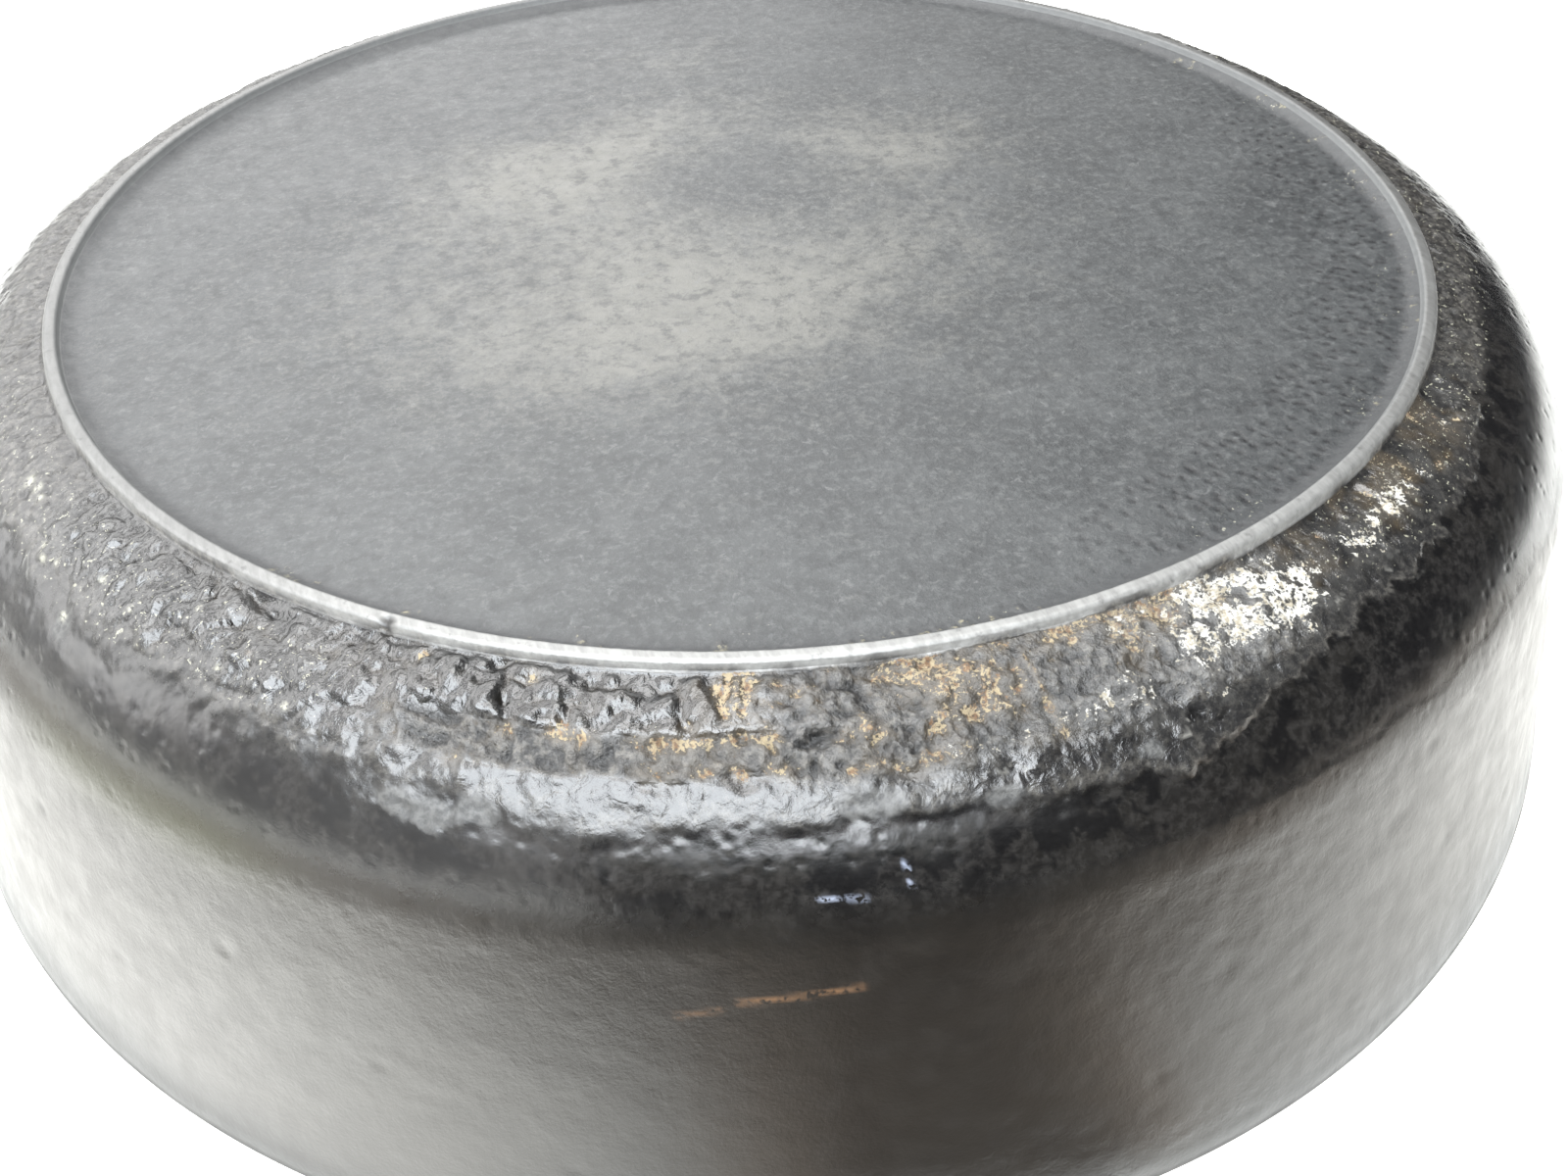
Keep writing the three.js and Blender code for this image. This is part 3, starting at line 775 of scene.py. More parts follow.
# ---------------------------------------------------------------- materials
# The baked oil on seasoned iron mirrors more strongly than plain lacquer does.
SEASONED_IOR = 1.7


class Shader:
    """A material's nodes, made by short calls. Lengths are in millimetres."""

    def __init__(self, name):
        self.material = bpy.data.materials.new(name)
        self.material.use_nodes = True
        self.tree = self.material.node_tree
        self.tree.nodes.clear()
        self.out = self.tree.nodes.new("ShaderNodeOutputMaterial")
        self.surface = self.tree.nodes.new("ShaderNodeBsdfPrincipled")
        self.tree.links.new(self.surface.outputs[0], self.out.inputs[0])
        self.place = self.tree.nodes.new("ShaderNodeTexCoord").outputs["Object"]

    def node(self, kind, **settings):
        made = self.tree.nodes.new(kind)
        for key, value in settings.items():
            setattr(made, key, value)
        return made

    def link(self, source, socket):
        if isinstance(source, bpy.types.NodeSocket):
            self.tree.links.new(source, socket)
        elif isinstance(source, tuple) and len(source) == 3 and socket.type == "RGBA":
            socket.default_value = (*source, 1.0)
        else:
            socket.default_value = source

    def mask(self, name, share=None):
        """A mask stored on the mesh, whole or scaled down to a share."""
        made = self.node("ShaderNodeAttribute", attribute_name=name).outputs["Fac"]
        return self.times(made, share) if share else made

    def noise(self, size_mm, detail=3.0, roughness=0.55, distortion=0.0, stretch=None):
        made = self.node("ShaderNodeTexNoise")
        made.inputs["Scale"].default_value = 1000.0 / size_mm
        made.inputs["Detail"].default_value = detail
        made.inputs["Roughness"].default_value = roughness
        made.inputs["Distortion"].default_value = distortion
        place = self.place
        if stretch:
            mapping = self.node("ShaderNodeMapping")
            mapping.inputs["Scale"].default_value = stretch
            self.tree.links.new(place, mapping.inputs[0])
            place = mapping.outputs[0]
        self.tree.links.new(place, made.inputs["Vector"])
        return made.outputs["Fac"]

    def maths(self, operation, a, b=0.0, clamp=False):
        made = self.node("ShaderNodeMath", operation=operation, use_clamp=clamp)
        self.link(a, made.inputs[0])
        self.link(b, made.inputs[1])
        return made.outputs[0]

    def times(self, a, b):
        return self.maths("MULTIPLY", a, b)

    def plus(self, a, b):
        return self.maths("ADD", a, b)

    def ramp(self, value, low, high, start=0.0, end=1.0):
        made = self.node("ShaderNodeMapRange", clamp=True, interpolation_type="SMOOTHSTEP")
        self.link(value, made.inputs["Value"])
        for key, number in zip(("From Min", "From Max", "To Min", "To Max"), (low, high, start, end)):
            made.inputs[key].default_value = number
        return made.outputs[0]

    def patches(self, size_mm, detail, roughness, low, high, share=None):
        """Soft-edged patches of noise, from 0 to 1 or to a share."""
        made = self.ramp(self.noise(size_mm, detail, roughness), low, high)
        return self.times(made, share) if share else made

    def coats(self, colour, coats):
        """Lays coats over a colour, each a share and a tint."""
        for share, tint in coats:
            colour = self.mix(share, colour, tint)
        return colour

    def mix(self, share, a, b):
        made = self.node("ShaderNodeMix", data_type="RGBA", clamp_factor=True)
        self.link(share, made.inputs[0])
        self.link(a, made.inputs[6])
        self.link(b, made.inputs[7])
        return made.outputs[2]

    def blend(self, share, a, b):
        made = self.node("ShaderNodeMix", data_type="FLOAT", clamp_factor=True)
        self.link(share, made.inputs[0])
        self.link(a, made.inputs[2])
        self.link(b, made.inputs[3])
        return made.outputs[0]

    def bump(self, height, distance_mm):
        made = self.node("ShaderNodeBump")
        made.inputs["Distance"].default_value = distance_mm * MM
        made.inputs["Strength"].default_value = 1.0
        self.link(height, made.inputs["Height"])
        self.tree.links.new(made.outputs[0], self.surface.inputs["Normal"])

    def finish(self, colour, roughness, metallic=0.0, specular=0.5):
        self.link(colour, self.surface.inputs["Base Color"])
        self.link(roughness, self.surface.inputs["Roughness"])
        self.link(metallic, self.surface.inputs["Metallic"])
        self.surface.inputs["Specular IOR Level"].default_value = specular
        return self.material


def speckle(shader, share, size_mm, detail=3.0, hard=0.04):
    """Breaks a soft share into hard specks: more of the surface is covered where the share is larger."""
    grain = shader.noise(size_mm, detail, 0.7)
    need = shader.ramp(share, 0.0, 1.0, 0.74, 0.42)
    return shader.ramp(shader.maths("SUBTRACT", grain, need), 0.0, hard)


def bare_iron(m, cloud, mid):
    """Seasoned iron of the heel band, the wall and the inside: black, warm, with darker blotches."""
    iron = m.mix(m.ramp(cloud, 0.35, 0.65), (0.0045, 0.0042, 0.0040), (0.0105, 0.0095, 0.0080))
    off_wall = m.ramp(m.mask("wall"), 0.0, 1.0, 0.7, 0.0)
    return m.coats(iron, [
        (m.times(m.ramp(mid, 0.5, 0.75), 0.3), (0.020, 0.018, 0.016)),
        (m.times(m.patches(1.1, 5, 0.7, 0.40, 0.66), off_wall), (0.030, 0.028, 0.026)),
        (m.mask("scab", 0.85), (0.0015, 0.0015, 0.0017)),
        # Greenish band on the heel at the left: partly the seasoning's own tint, partly painted highlight.
        (m.mask("moss", 0.65), (0.032, 0.035, 0.010)),
        (m.mask("inside"), (0.0120, 0.0105, 0.0090)),
    ])


def worn_base(m, cloud, fine):
    """The base: blue-grey, with a pale yellowish stain in the middle that breaks into fine mottling."""
    mottled = m.plus(m.mask("pale"), m.times(m.plus(m.noise(6, 7, 0.8), -0.5), 1.9))
    mottled = m.plus(mottled, m.times(m.plus(m.noise(1.6, 5, 0.75), -0.5), 1.1))
    scuff = m.times(m.ramp(m.noise(2.0, 6, 0.75, 0.6), 0.57, 0.68), 0.60)
    crumbs = m.mix(m.ramp(fine, 0.5, 0.6), (0.02, 0.02, 0.02), (0.30, 0.27, 0.17))
    plain = m.mix(m.ramp(cloud, 0.35, 0.65), (0.020, 0.0225, 0.0235), (0.040, 0.043, 0.0435))
    return m.coats(plain, [
        (m.patches(1.5, 6, 0.8, 0.46, 0.66, 0.65), (0.098, 0.103, 0.102)),
        (m.ramp(mottled, 0.05, 1.25), (0.135, 0.132, 0.116)),
        (scuff, (0.14, 0.142, 0.140)),
        (m.patches(3.4, 6, 0.75, 0.50, 0.62, 0.60), (0.012, 0.0135, 0.0145)),
        # The groove by the ring is darker: partly grime, partly painted shade.
        (m.mask("groove", 0.55), (0.016, 0.018, 0.020)),
        (m.mask("pit", 0.9), (0.004, 0.004, 0.005)),
        (m.mask("crumb"), crumbs),
    ])


def carbon_crust(m, fine):
    """The crust: glossy black where lumpy, grey-brown where gritty, with painted shade, partly soot, darkest
    in its creases, and raised edges lighter, partly worn and partly painted highlight.
    """
    carbon = m.mix(m.patches(1.3, 5, 0.75, 0.42, 0.66), (0.024, 0.022, 0.020), (0.150, 0.140, 0.122))
    grey_bits = m.patches(0.8, 4, 0.7, 0.56, 0.66, 0.5)
    # Raised crust edges are lighter: partly worn edges, partly painted highlight.
    edges = m.times(m.times(m.mask("proud"), m.ramp(fine, 0.45, 0.6)), m.plus(m.mask("matt", 0.8), 0.15))
    return m.coats(carbon, [
        (m.mask("gloss", 0.85), (0.014, 0.0142, 0.0150)),
        (m.times(grey_bits, m.mask("matt")), (0.12, 0.118, 0.11)),
        (edges, (0.13, 0.127, 0.12)),
        # Painted shade, partly soot: near-black in the creases and sunken places.
        (m.mask("hollow", 0.9), (0.0025, 0.0025, 0.0025)),
    ])


def pot_material():
    """Base, crust, wall and ring in one material, told apart by the masks on the mesh."""
    m = Shader("pot_iron")
    crust, base, ring, wall, patch = (m.mask(name) for name in ("crust", "base", "ring", "wall", "patch"))
    cloud, fine, mid = m.noise(26, 4, 0.6), m.noise(0.9, 3, 0.6), m.noise(5, 4, 0.6)
    colour = m.mix(base, bare_iron(m, cloud, mid), worn_base(m, cloud, fine))
    colour = m.mix(m.ramp(crust, 0.15, 0.7), colour, carbon_crust(m, fine))

    # Flake edges, matt patches, chips, rust, ash and pale specks on the crust.
    flake_edge = m.times(m.mask("lip"), m.patches(3.0, 4, 0.6, 0.47, 0.56))
    patch_tone = m.mix(m.ramp(fine, 0.35, 0.65), (0.035, 0.035, 0.034), (0.11, 0.11, 0.105))
    rust_share, ash_share, speck_share = m.mask("rust"), m.mask("ash"), m.mask("speck", 0.4)
    clumps = m.ramp(m.noise(2.2, 4, 0.65), 0.34, 0.58, 0.70, 1.15)
    rust = m.times(speckle(m, m.times(rust_share, clumps), 0.45, 4), m.ramp(rust_share, 0.02, 0.15))
    rust_tone = m.mix(m.ramp(m.noise(0.9, 3), 0.38, 0.6), (0.17, 0.090, 0.040), (0.37, 0.300, 0.185))
    lace = m.ramp(m.noise(2.4, 6, 0.7), 0.36, 0.54, 0.35, 1.2)
    ash = m.times(speckle(m, m.times(ash_share, lace), 0.65, 6, 0.05), m.ramp(ash_share, 0.02, 0.15))
    ash_tone = m.mix(m.patches(1.2, 4, 0.7, 0.45, 0.62), (0.60, 0.59, 0.55), (0.34, 0.30, 0.22))
    speck = m.times(speckle(m, speck_share, 0.8, 3, 0.03), m.ramp(speck_share, 0.01, 0.1))
    colour = m.coats(colour, [
        (m.times(flake_edge, 0.6), (0.36, 0.35, 0.32)),
        (m.times(patch, 0.85), patch_tone),
        (m.times(m.mask("chip"), m.patches(0.9, 4, 0.7, 0.40, 0.52)), (0.42, 0.41, 0.33)),
        (m.times(m.ramp(rust_share, 0.0, 0.6), 0.6), (0.090, 0.070, 0.045)),
        (rust, rust_tone),
        (m.times(m.ramp(ash_share, 0.0, 0.6), 0.35), (0.10, 0.098, 0.092)),
        (ash, ash_tone),
        (m.times(speck, 0.8), (0.40, 0.39, 0.30)),
    ])

    # Scores and knocks on the wall, the ring's worn bright top and its duller inner flank.
    score = m.times(m.mask("score"), m.ramp(m.noise(0.9, 3), 0.32, 0.50))
    spark = m.times(m.mask("spark"), m.ramp(m.noise(0.7, 2), 0.42, 0.52))
    streak = m.noise(0.8, 3, 0.6, stretch=(1.0, 0.22, 1.0))
    bare = m.maths("SUBTRACT", ring, m.mask("nick"), clamp=True)
    bare = m.times(bare, m.ramp(m.noise(1.6, 4, 0.6), 0.25, 0.42, 0.55, 1.0))
    colour = m.coats(colour, [
        (m.times(score, 0.6), (0.26, 0.125, 0.045)),
        (m.times(spark, 0.7), (0.42, 0.47, 0.60)),
        (bare, m.mix(m.ramp(streak, 0.3, 0.7), (0.29, 0.288, 0.276), (0.40, 0.398, 0.382))),
        (m.mask("flank", 0.8), m.mix(streak, (0.10, 0.105, 0.105), (0.20, 0.205, 0.20))),
    ])

    bare_rough = m.blend(wall, m.ramp(mid, 0.3, 0.7, 0.20, 0.27), m.ramp(mid, 0.3, 0.7, 0.30, 0.38))
    rough = m.blend(base, bare_rough, m.ramp(m.noise(4, 6, 0.75), 0.3, 0.7, 0.36, 0.54))
    matt_rough, gloss_rough = m.ramp(fine, 0.3, 0.7, 0.40, 0.65), m.ramp(fine, 0.3, 0.7, 0.09, 0.19)
    crust_rough = m.blend(m.mask("gloss"), matt_rough, gloss_rough)
    rough = m.blend(crust, rough, crust_rough)
    rough = m.blend(m.mask("sheet"), rough, 0.25)
    rough = m.blend(m.times(patch, 0.9), rough, 0.50)
    rough = m.blend(m.maths("MAXIMUM", rust, ash), rough, 0.85)
    rough = m.blend(ring, rough, 0.42)
    rough = m.blend(m.mask("flank"), rough, 0.65)

    grain = m.plus(m.times(m.noise(0.55, 4, 0.65), 0.7), m.times(m.noise(1.5, 4, 0.65), 0.8))
    wrinkles = m.times(m.noise(1.7, 3, 0.55, 0.8), m.ramp(m.mask("sheet"), 0.0, 1.0, 1.2, 0.7))
    strength = m.plus(m.mask("matt", 1.6), m.times(wall, 0.25))
    strength = m.plus(m.plus(strength, 0.12), m.times(crust, 0.25))
    strength = m.plus(strength, m.times(base, 0.30))
    m.bump(m.plus(m.times(grain, strength), m.times(wrinkles, m.mask("gloss"))), 0.20)
    m.surface.inputs["IOR"].default_value = SEASONED_IOR
    return m.finish(colour, rough, m.times(ring, 0.35), 0.75)


def lid_material():
    m = Shader("lid_iron")
    cloud, fine = m.noise(30, 4, 0.6), m.noise(1.0, 4, 0.65)
    colour = m.mix(m.ramp(cloud, 0.35, 0.65), (0.010, 0.0095, 0.0090), (0.022, 0.020, 0.018))
    colour = m.mix(m.times(m.ramp(m.noise(5, 5, 0.7), 0.52, 0.66), 0.4), colour, (0.045, 0.043, 0.040))
    rust = m.times(speckle(m, m.mask("rust"), 1.2, 5), m.ramp(m.mask("rust"), 0.02, 0.15))
    rust_tone = m.mix(m.ramp(fine, 0.4, 0.6), (0.10, 0.040, 0.016), (0.24, 0.115, 0.05))
    colour = m.coats(colour, [
        (m.times(rust, 0.8), rust_tone),
        (m.times(m.mask("worn"), m.patches(2.5, 4, 0.6, 0.35, 0.55)), (0.15, 0.148, 0.14)),
    ])
    rough = m.blend(rust, m.ramp(cloud, 0.3, 0.7, 0.34, 0.46), 0.8)
    m.bump(m.plus(m.times(fine, 0.5), m.times(m.noise(2.2, 4, 0.6), 0.6)), 0.12)
    m.surface.inputs["IOR"].default_value = SEASONED_IOR
    return m.finish(colour, rough, m.times(m.mask("worn"), 0.5), 0.6)


def bail_material():
    m = Shader("bail_steel")
    scale = m.ramp(m.noise(3.0, 5, 0.65), 0.42, 0.62)
    colour = m.mix(scale, (0.030, 0.029, 0.029), (0.085, 0.082, 0.080))
    rust = m.times(m.ramp(m.noise(1.6, 5, 0.7), 0.56, 0.66), m.ramp(m.noise(22, 3), 0.45, 0.6))
    colour = m.mix(m.times(rust, 0.8), colour, (0.13, 0.055, 0.024))
    rubbed = m.times(m.mask("worn"), m.ramp(m.noise(1.8, 4, 0.6), 0.3, 0.55))
    colour = m.mix(rubbed, colour, (0.42, 0.415, 0.40))
    rough = m.blend(rust, m.blend(scale, 0.34, 0.46), 0.75)
    m.bump(m.plus(m.times(m.noise(0.7, 3), 0.5), m.times(scale, 0.5)), 0.08)
    return m.finish(colour, rough, m.blend(rust, 0.75, 0.1))


# ---------------------------------------------------------------- ears
EAR_THICKNESS = 6.0
TONGUE_RADIUS = 9.0
ROOT_RISE = 8.0
EAR_HALF = 15.0
EAR_CORNER = 2.0
HOLE_RADIUS = 4.0
WALL_BITE = 2.0
TONGUE_IN, TONGUE_OUT = POT_HIGH[0] - EAR_THICKNESS, POT_HIGH[0]
BRACKET_LOW = HINGE_Z + TONGUE_RADIUS
BRACKET_TOP = BRACKET_LOW + EAR_THICKNESS
ROOT_TOP = BRACKET_TOP + ROOT_RISE
TONGUE_TIP = HINGE_Z - TONGUE_RADIUS
# Size of the cells that round off the ears' edges.
EAR_CELL = 0.6


def prism(name, outline, low, high, along):
    """A solid with an outline in the other two axes, from low to high along X or Y."""
    n = len(outline)
    points = []
    for depth in (low, high):
        for a, b in outline:
            points.append((a, depth, b) if along == "Y" else (depth, a, b))
    mesh = bpy.data.meshes.new(name)
    sides = [(i, (i + 1) % n, n + (i + 1) % n, n + i) for i in range(n)]
    faces = [tuple(range(n)), tuple(range(n, 2 * n)), *sides]
    mesh.from_pydata([tuple(c * MM for c in point) for point in points], [], faces)
    turn_outward(mesh)
    return piece(name, mesh)


def baked(obj):
    """The object's mesh with its modifiers applied; the object itself goes."""
    graph = bpy.context.evaluated_depsgraph_get()
    mesh = bpy.data.meshes.new_from_object(obj.evaluated_get(graph))
    bpy.data.objects.remove(obj)
    return mesh


def arc(cx, cy, radius, start, end, steps):
    """Points along a circle's arc, between two angles in degrees."""
    angles = np.radians(np.linspace(start, end, steps))
    return [(cx + radius * math.cos(a), cy + radius * math.sin(a)) for a in angles]


def make_ear(name, side):
    """A cast bracket that turns down into a drilled tongue, with soft edges and a flared root."""
    bracket = prism(name, [
        (side * (wall_radius(BRACKET_LOW) - WALL_BITE), BRACKET_LOW), (side * TONGUE_IN, BRACKET_LOW),
        (side * TONGUE_IN, TONGUE_TIP), (side * TONGUE_OUT, TONGUE_TIP),
        (side * TONGUE_OUT, BRACKET_TOP - EAR_CORNER),
        (side * (TONGUE_OUT - EAR_CORNER), BRACKET_TOP), (side * (TONGUE_IN - 4), BRACKET_TOP + 1),
        (side * (wall_radius(ROOT_TOP) - WALL_BITE), ROOT_TOP),
    ], -EAR_HALF, EAR_HALF, "Y")
    reach = sorted((side * (TONGUE_IN - 30), side * (TONGUE_OUT + 1)))
    outline = [(EAR_HALF, ROOT_TOP), (-EAR_HALF, ROOT_TOP), (-EAR_HALF, BRACKET_LOW)]
    outline += arc(0, HINGE_Z, TONGUE_RADIUS, 180, 360, 24) + [(EAR_HALF, BRACKET_LOW)]
    tongue = prism(name + "_trim", outline, *reach, "X")
    hole = prism(name + "_hole", arc(0, HINGE_Z, HOLE_RADIUS + 0.1, 0, 345, 24),
                 *sorted((side * (TONGUE_IN - 1), side * (TONGUE_OUT + 1))), "X")
    for operation, tool in (("INTERSECT", tongue), ("DIFFERENCE", hole)):
        cut = bracket.modifiers.new(operation, "BOOLEAN")
        cut.operation, cut.object, cut.solver = operation, tool, "EXACT"
    remesh = bracket.modifiers.new("remesh", "REMESH")
    remesh.mode, remesh.voxel_size = "VOXEL", EAR_CELL * MM
    soften = bracket.modifiers.new("soften", "SMOOTH")
    soften.factor, soften.iterations = 0.5, 6
    mesh = baked(bracket)
    for tool in (tongue, hole):
        bpy.data.objects.remove(tool)
    return relief_ear(name, mesh)


def relief_ear(name, mesh):
    """Gives the ear its casting grain, its flared root and the rust round its hole."""
    count = len(mesh.vertices)
    points, normals = np.empty(count * 3), np.empty(count * 3)
    mesh.vertices.foreach_get("co", points)
    mesh.vertices.foreach_get("normal", normals)
    points, normals = points.reshape(-1, 3) / MM, normals.reshape(-1, 3)
    x, y, z = points.T
    off_wall = np.hypot(x, y) - wall_radius(z)
    grain = 0.12 * fractal((x + y) / 5 + 500, (z - y) / 5 + 500, 161, 3)
    from_hole = np.hypot(y, z - HINGE_Z)
    clear = smooth(from_hole, HOLE_RADIUS + 0.3, HOLE_RADIUS + 2.0)
    flare = 2.2 * np.exp(-np.clip(off_wall, 0, 9) / 2.4)
    radial = np.stack([x, y, 0 * z], axis=1) / np.hypot(x, y)[:, None]
    sideways = normals - radial * (normals * radial).sum(axis=1, keepdims=True)
    points = points + normals * (grain * clear)[:, None] + sideways * flare[:, None]
    mesh.vertices.foreach_set("co", (points * MM).ravel())
    rust = 0.55 * np.exp(-(((from_hole - HOLE_RADIUS) / 2.2) ** 2)) + 0.12
    store(mesh, "wall", np.ones(count))
    store(mesh, "rust", rust)
    for polygon in mesh.polygons:
        polygon.use_smooth = True
    return piece(name, mesh)


# ---------------------------------------------------------------- lid
LID_RADIUS = LID_HIGH[1]
FLANGE_WIDTH = 6.0
FLANGE_THICKNESS = 3.5
DOME_RISE = 12.0
LID_THICKNESS = 4.0
LID_TOP_ROWS = 90
LID_TURN = 480
HANDLE_HALF_SPAN = 38.0
HANDLE_WIDE = 6.5
HANDLE_THICK = 4.0
HANDLE_TOP = LID_HIGH[2] - HANDLE_THICK


def dome_height(r, lift):
    """Height of the lid's dome at a radius, lifted over its underside."""
    edge = LID_RADIUS - FLANGE_WIDTH
    sphere = (edge**2 + DOME_RISE**2) / (2 * DOME_RISE)
    return RIM_Z + DOME_RISE + lift - sphere + np.sqrt(sphere**2 - r**2)


def lid_rows():
    """Radius and height from the middle of the top, over the edge, to the middle of the underside."""
    edge = LID_RADIUS - FLANGE_WIDTH
    top_z = RIM_Z + FLANGE_THICKNESS
    rows = [(r, dome_height(r, LID_THICKNESS)) for r in np.linspace(1.0, edge - 3.0, LID_TOP_ROWS)]
    rows += [(edge - 1.5, dome_height(edge - 1.5, LID_THICKNESS) - 0.15), (edge + 0.2, top_z + 0.5)]
    rows += [(edge + 1.6, top_z + 0.08), (edge + 3.2, top_z), (LID_RADIUS - 1.0, top_z)]
    rows += [(LID_RADIUS - 0.35, top_z - 0.15), (LID_RADIUS, top_z - 0.8), (LID_RADIUS, RIM_Z + 0.8)]
    rows += [(LID_RADIUS - 0.35, RIM_Z + 0.15), (LID_RADIUS - 1.0, RIM_Z), (edge + 1.0, RIM_Z)]
    rows += [(r, dome_height(r, 0.0)) for r in np.linspace(edge - 0.5, 1.0, 60)]
    return np.array(rows)


def make_lid_plate():
    rows = lid_rows()
    skin = Skin()

    def place(azimuth, u, index):
        r, z = rows[index.astype(int)].transpose(2, 0, 1)
        x, y, _ = polar(azimuth, r, z)
        upper = 1 - smooth(index, LID_TOP_ROWS - 1, LID_TOP_ROWS + 2)
        swell = 0.10 * fractal(x / 18 + 800, y / 18 + 800, 171, 3)
        swell = swell + 0.035 * fractal(x / 3 + 900, y / 3 + 900, 172, 3)
        near, _, number = cells(x / 6 + 950, y / 6 + 950, 173)
        pock = (number > 0.8) * (1 - smooth(near, 0.05, 0.2))
        rust = 0.4 * smooth(r, 118, 138) + 0.3 * smooth(fractal(x / 20 + 980, y / 20 + 980, 174, 3), 0.1, 0.5)
        return x, y, z + upper * (swell - 0.16 * pock), {"rust": np.clip(rust, 0, 1)}

    skin.add(np.arange(float(len(rows))), LID_TURN, place)
    return skin.build("lid_plate")


def swept(name, centre, binormal, wide, thick, sides, worn, wobble, seed):
    """A bar of oval section along a flat curve, with closed ends."""
    centre = np.asarray(centre, float)
    tangent = np.gradient(centre, axis=0)
    tangent /= np.linalg.norm(tangent, axis=1, keepdims=True)
    binormal = np.asarray(binormal, float)
    normal = np.cross(np.broadcast_to(binormal, tangent.shape), tangent)
    angles = np.arange(sides) * 2 * math.pi / sides
    rings = []
    for k, point in enumerate(centre):
        bumps = 1 + wobble * noise(angles / (2 * math.pi) * 6, 0 * angles + k * 0.23, seed, 6)
        across = np.cos(angles)[:, None] * binormal * wide[k] * bumps[:, None]
        along = np.sin(angles)[:, None] * normal[k] * thick[k] * bumps[:, None]
        rings.append(point + across + along)
    n = len(rings)
    points = np.concatenate(rings + [[centre[0]], [centre[-1]]])
    j = np.arange(sides)
    k = (j + 1) % sides
    quads = np.concatenate([
        np.stack([i * sides + j, i * sides + k, (i + 1) * sides + k, (i + 1) * sides + j], axis=1)
        for i in range(n - 1)
    ])
    last = (n - 1) * sides
    first_cap = np.stack([n * sides + 0 * j, k, j], axis=1)
    last_cap = np.stack([n * sides + 1 + 0 * j, last + j, last + k], axis=1)
    mesh = mesh_from(name, points * MM, quads, np.concatenate([first_cap, last_cap]))
    turn_outward(mesh)
    store(mesh, "worn", np.concatenate([np.repeat(worn, sides), worn[:1], worn[-1:]]))
    return piece(name, mesh)


def smooth_through(points, steps):
    """A smooth curve through the given points."""
    points = np.asarray(points, float)
    padded = np.concatenate([[2 * points[0] - points[1]], points, [2 * points[-1] - points[-2]]])
    curve = []
    for i in range(len(points) - 1):
        p0, p1, p2, p3 = padded[i:i + 4]
        for f in np.arange(steps) / steps:
            curve.append(0.5 * (2 * p1 + (p2 - p0) * f + (2 * p0 - 5 * p1 + 4 * p2 - p3) * f**2
                                + (3 * p1 - p0 - 3 * p2 + p3) * f**3))
    curve.append(points[-1])
    return np.array(curve)


def make_lid_handle():
    """A cast loop that rises from two flared feet."""
    foot = dome_height(0.0, LID_THICKNESS) - 2.2
    side = foot + (HANDLE_TOP - foot) * 0.55
    span = HANDLE_HALF_SPAN
    xz = [(-span, foot), (-0.84 * span, side), (-0.5 * span, HANDLE_TOP - 2), (0, HANDLE_TOP),
          (0.5 * span, HANDLE_TOP - 2), (0.84 * span, side), (span, foot)]
    centre = smooth_through([(x, 0, z) for x, z in xz], 12)
    flare = 0.42 * np.exp(-np.clip(centre[:, 2] - foot - 1.2, 0, 30) / 2.4)
    worn = 0.8 * smooth(centre[:, 2], HANDLE_TOP - 6, HANDLE_TOP)
    return swept("lid_loop", centre, (0, 1, 0), HANDLE_WIDE * (1 + flare), HANDLE_THICK * (1 + flare), 32,
                 worn, 0.02, 181)


# ---------------------------------------------------------------- bail
WIRE_RADIUS = 3.0
BAIL_RADIUS = 165.2
WIRE_BEND = 4.0
HOOK_LENGTH = 3.5
# Clearance between the wire and the table.
TABLE_GAP = 0.2


def make_bail():
    """A round wire: hooks through the ears and one wide arch that lies on the table."""
    leg = BAIL_RADIUS - WIRE_BEND
    first = math.degrees(math.asin(WIRE_BEND / BAIL_RADIUS))
    hook_x = TONGUE_IN - WIRE_BEND
    hook_end = WIRE_BEND + HOOK_LENGTH
    half = [(hook_x, hook_end), (hook_x, hook_end - 0.5), (hook_x, hook_end - HOOK_LENGTH / 2)]
    half += arc(TONGUE_IN, WIRE_BEND, WIRE_BEND, 180, 270, 10) + arc(leg, WIRE_BEND, WIRE_BEND, -90, 0, 10)
    half += arc(0, 0, BAIL_RADIUS, first, 90, 150)[1:]
    route = np.array([(x, y, 0.0) for x, y in half + [(-x, y) for x, y in half[-2::-1]]])
    tilt = -math.asin((HINGE_Z - RIM_Z - WIRE_RADIUS - TABLE_GAP) / BAIL_RADIUS)
    spin = np.array([[1, 0, 0], [0, math.cos(tilt), -math.sin(tilt)], [0, math.sin(tilt), math.cos(tilt)]])
    centre = route @ spin.T + np.array([0, 0, HINGE_Z])
    size = np.full(len(route), WIRE_RADIUS)
    size[[0, -1]] = 0.8 * WIRE_RADIUS
    worn = 0.9 * smooth(8.0 - np.abs(np.abs(route[:, 0]) - TONGUE_IN - 3) - route[:, 1], -3, 4)
    worn = worn + 0.35 * smooth(route[:, 1], 0.93 * BAIL_RADIUS, BAIL_RADIUS)
    return swept("bail_wire_fine", centre, spin @ np.array([0, 0, 1.0]), size, size, 20, worn, 0.012, 191)


# ---------------------------------------------------------------- camera, light and floor
CAMERA_LENS = 34.65
# The photograph's camera in a frame whose Y points away from it, turned round to the row's frame.
CAMERA_TURN = math.radians(-18)
CAMERA_RIGHT = Vector((0.99915, -0.03820, -0.01547))
CAMERA_UP = Vector((0.03669, 0.65351, 0.75611))
CAMERA_AHEAD = Vector((0.01877, 0.75604, -0.65435))
CAMERA_PLACE = Vector((0.0, -0.2361, 0.1183))


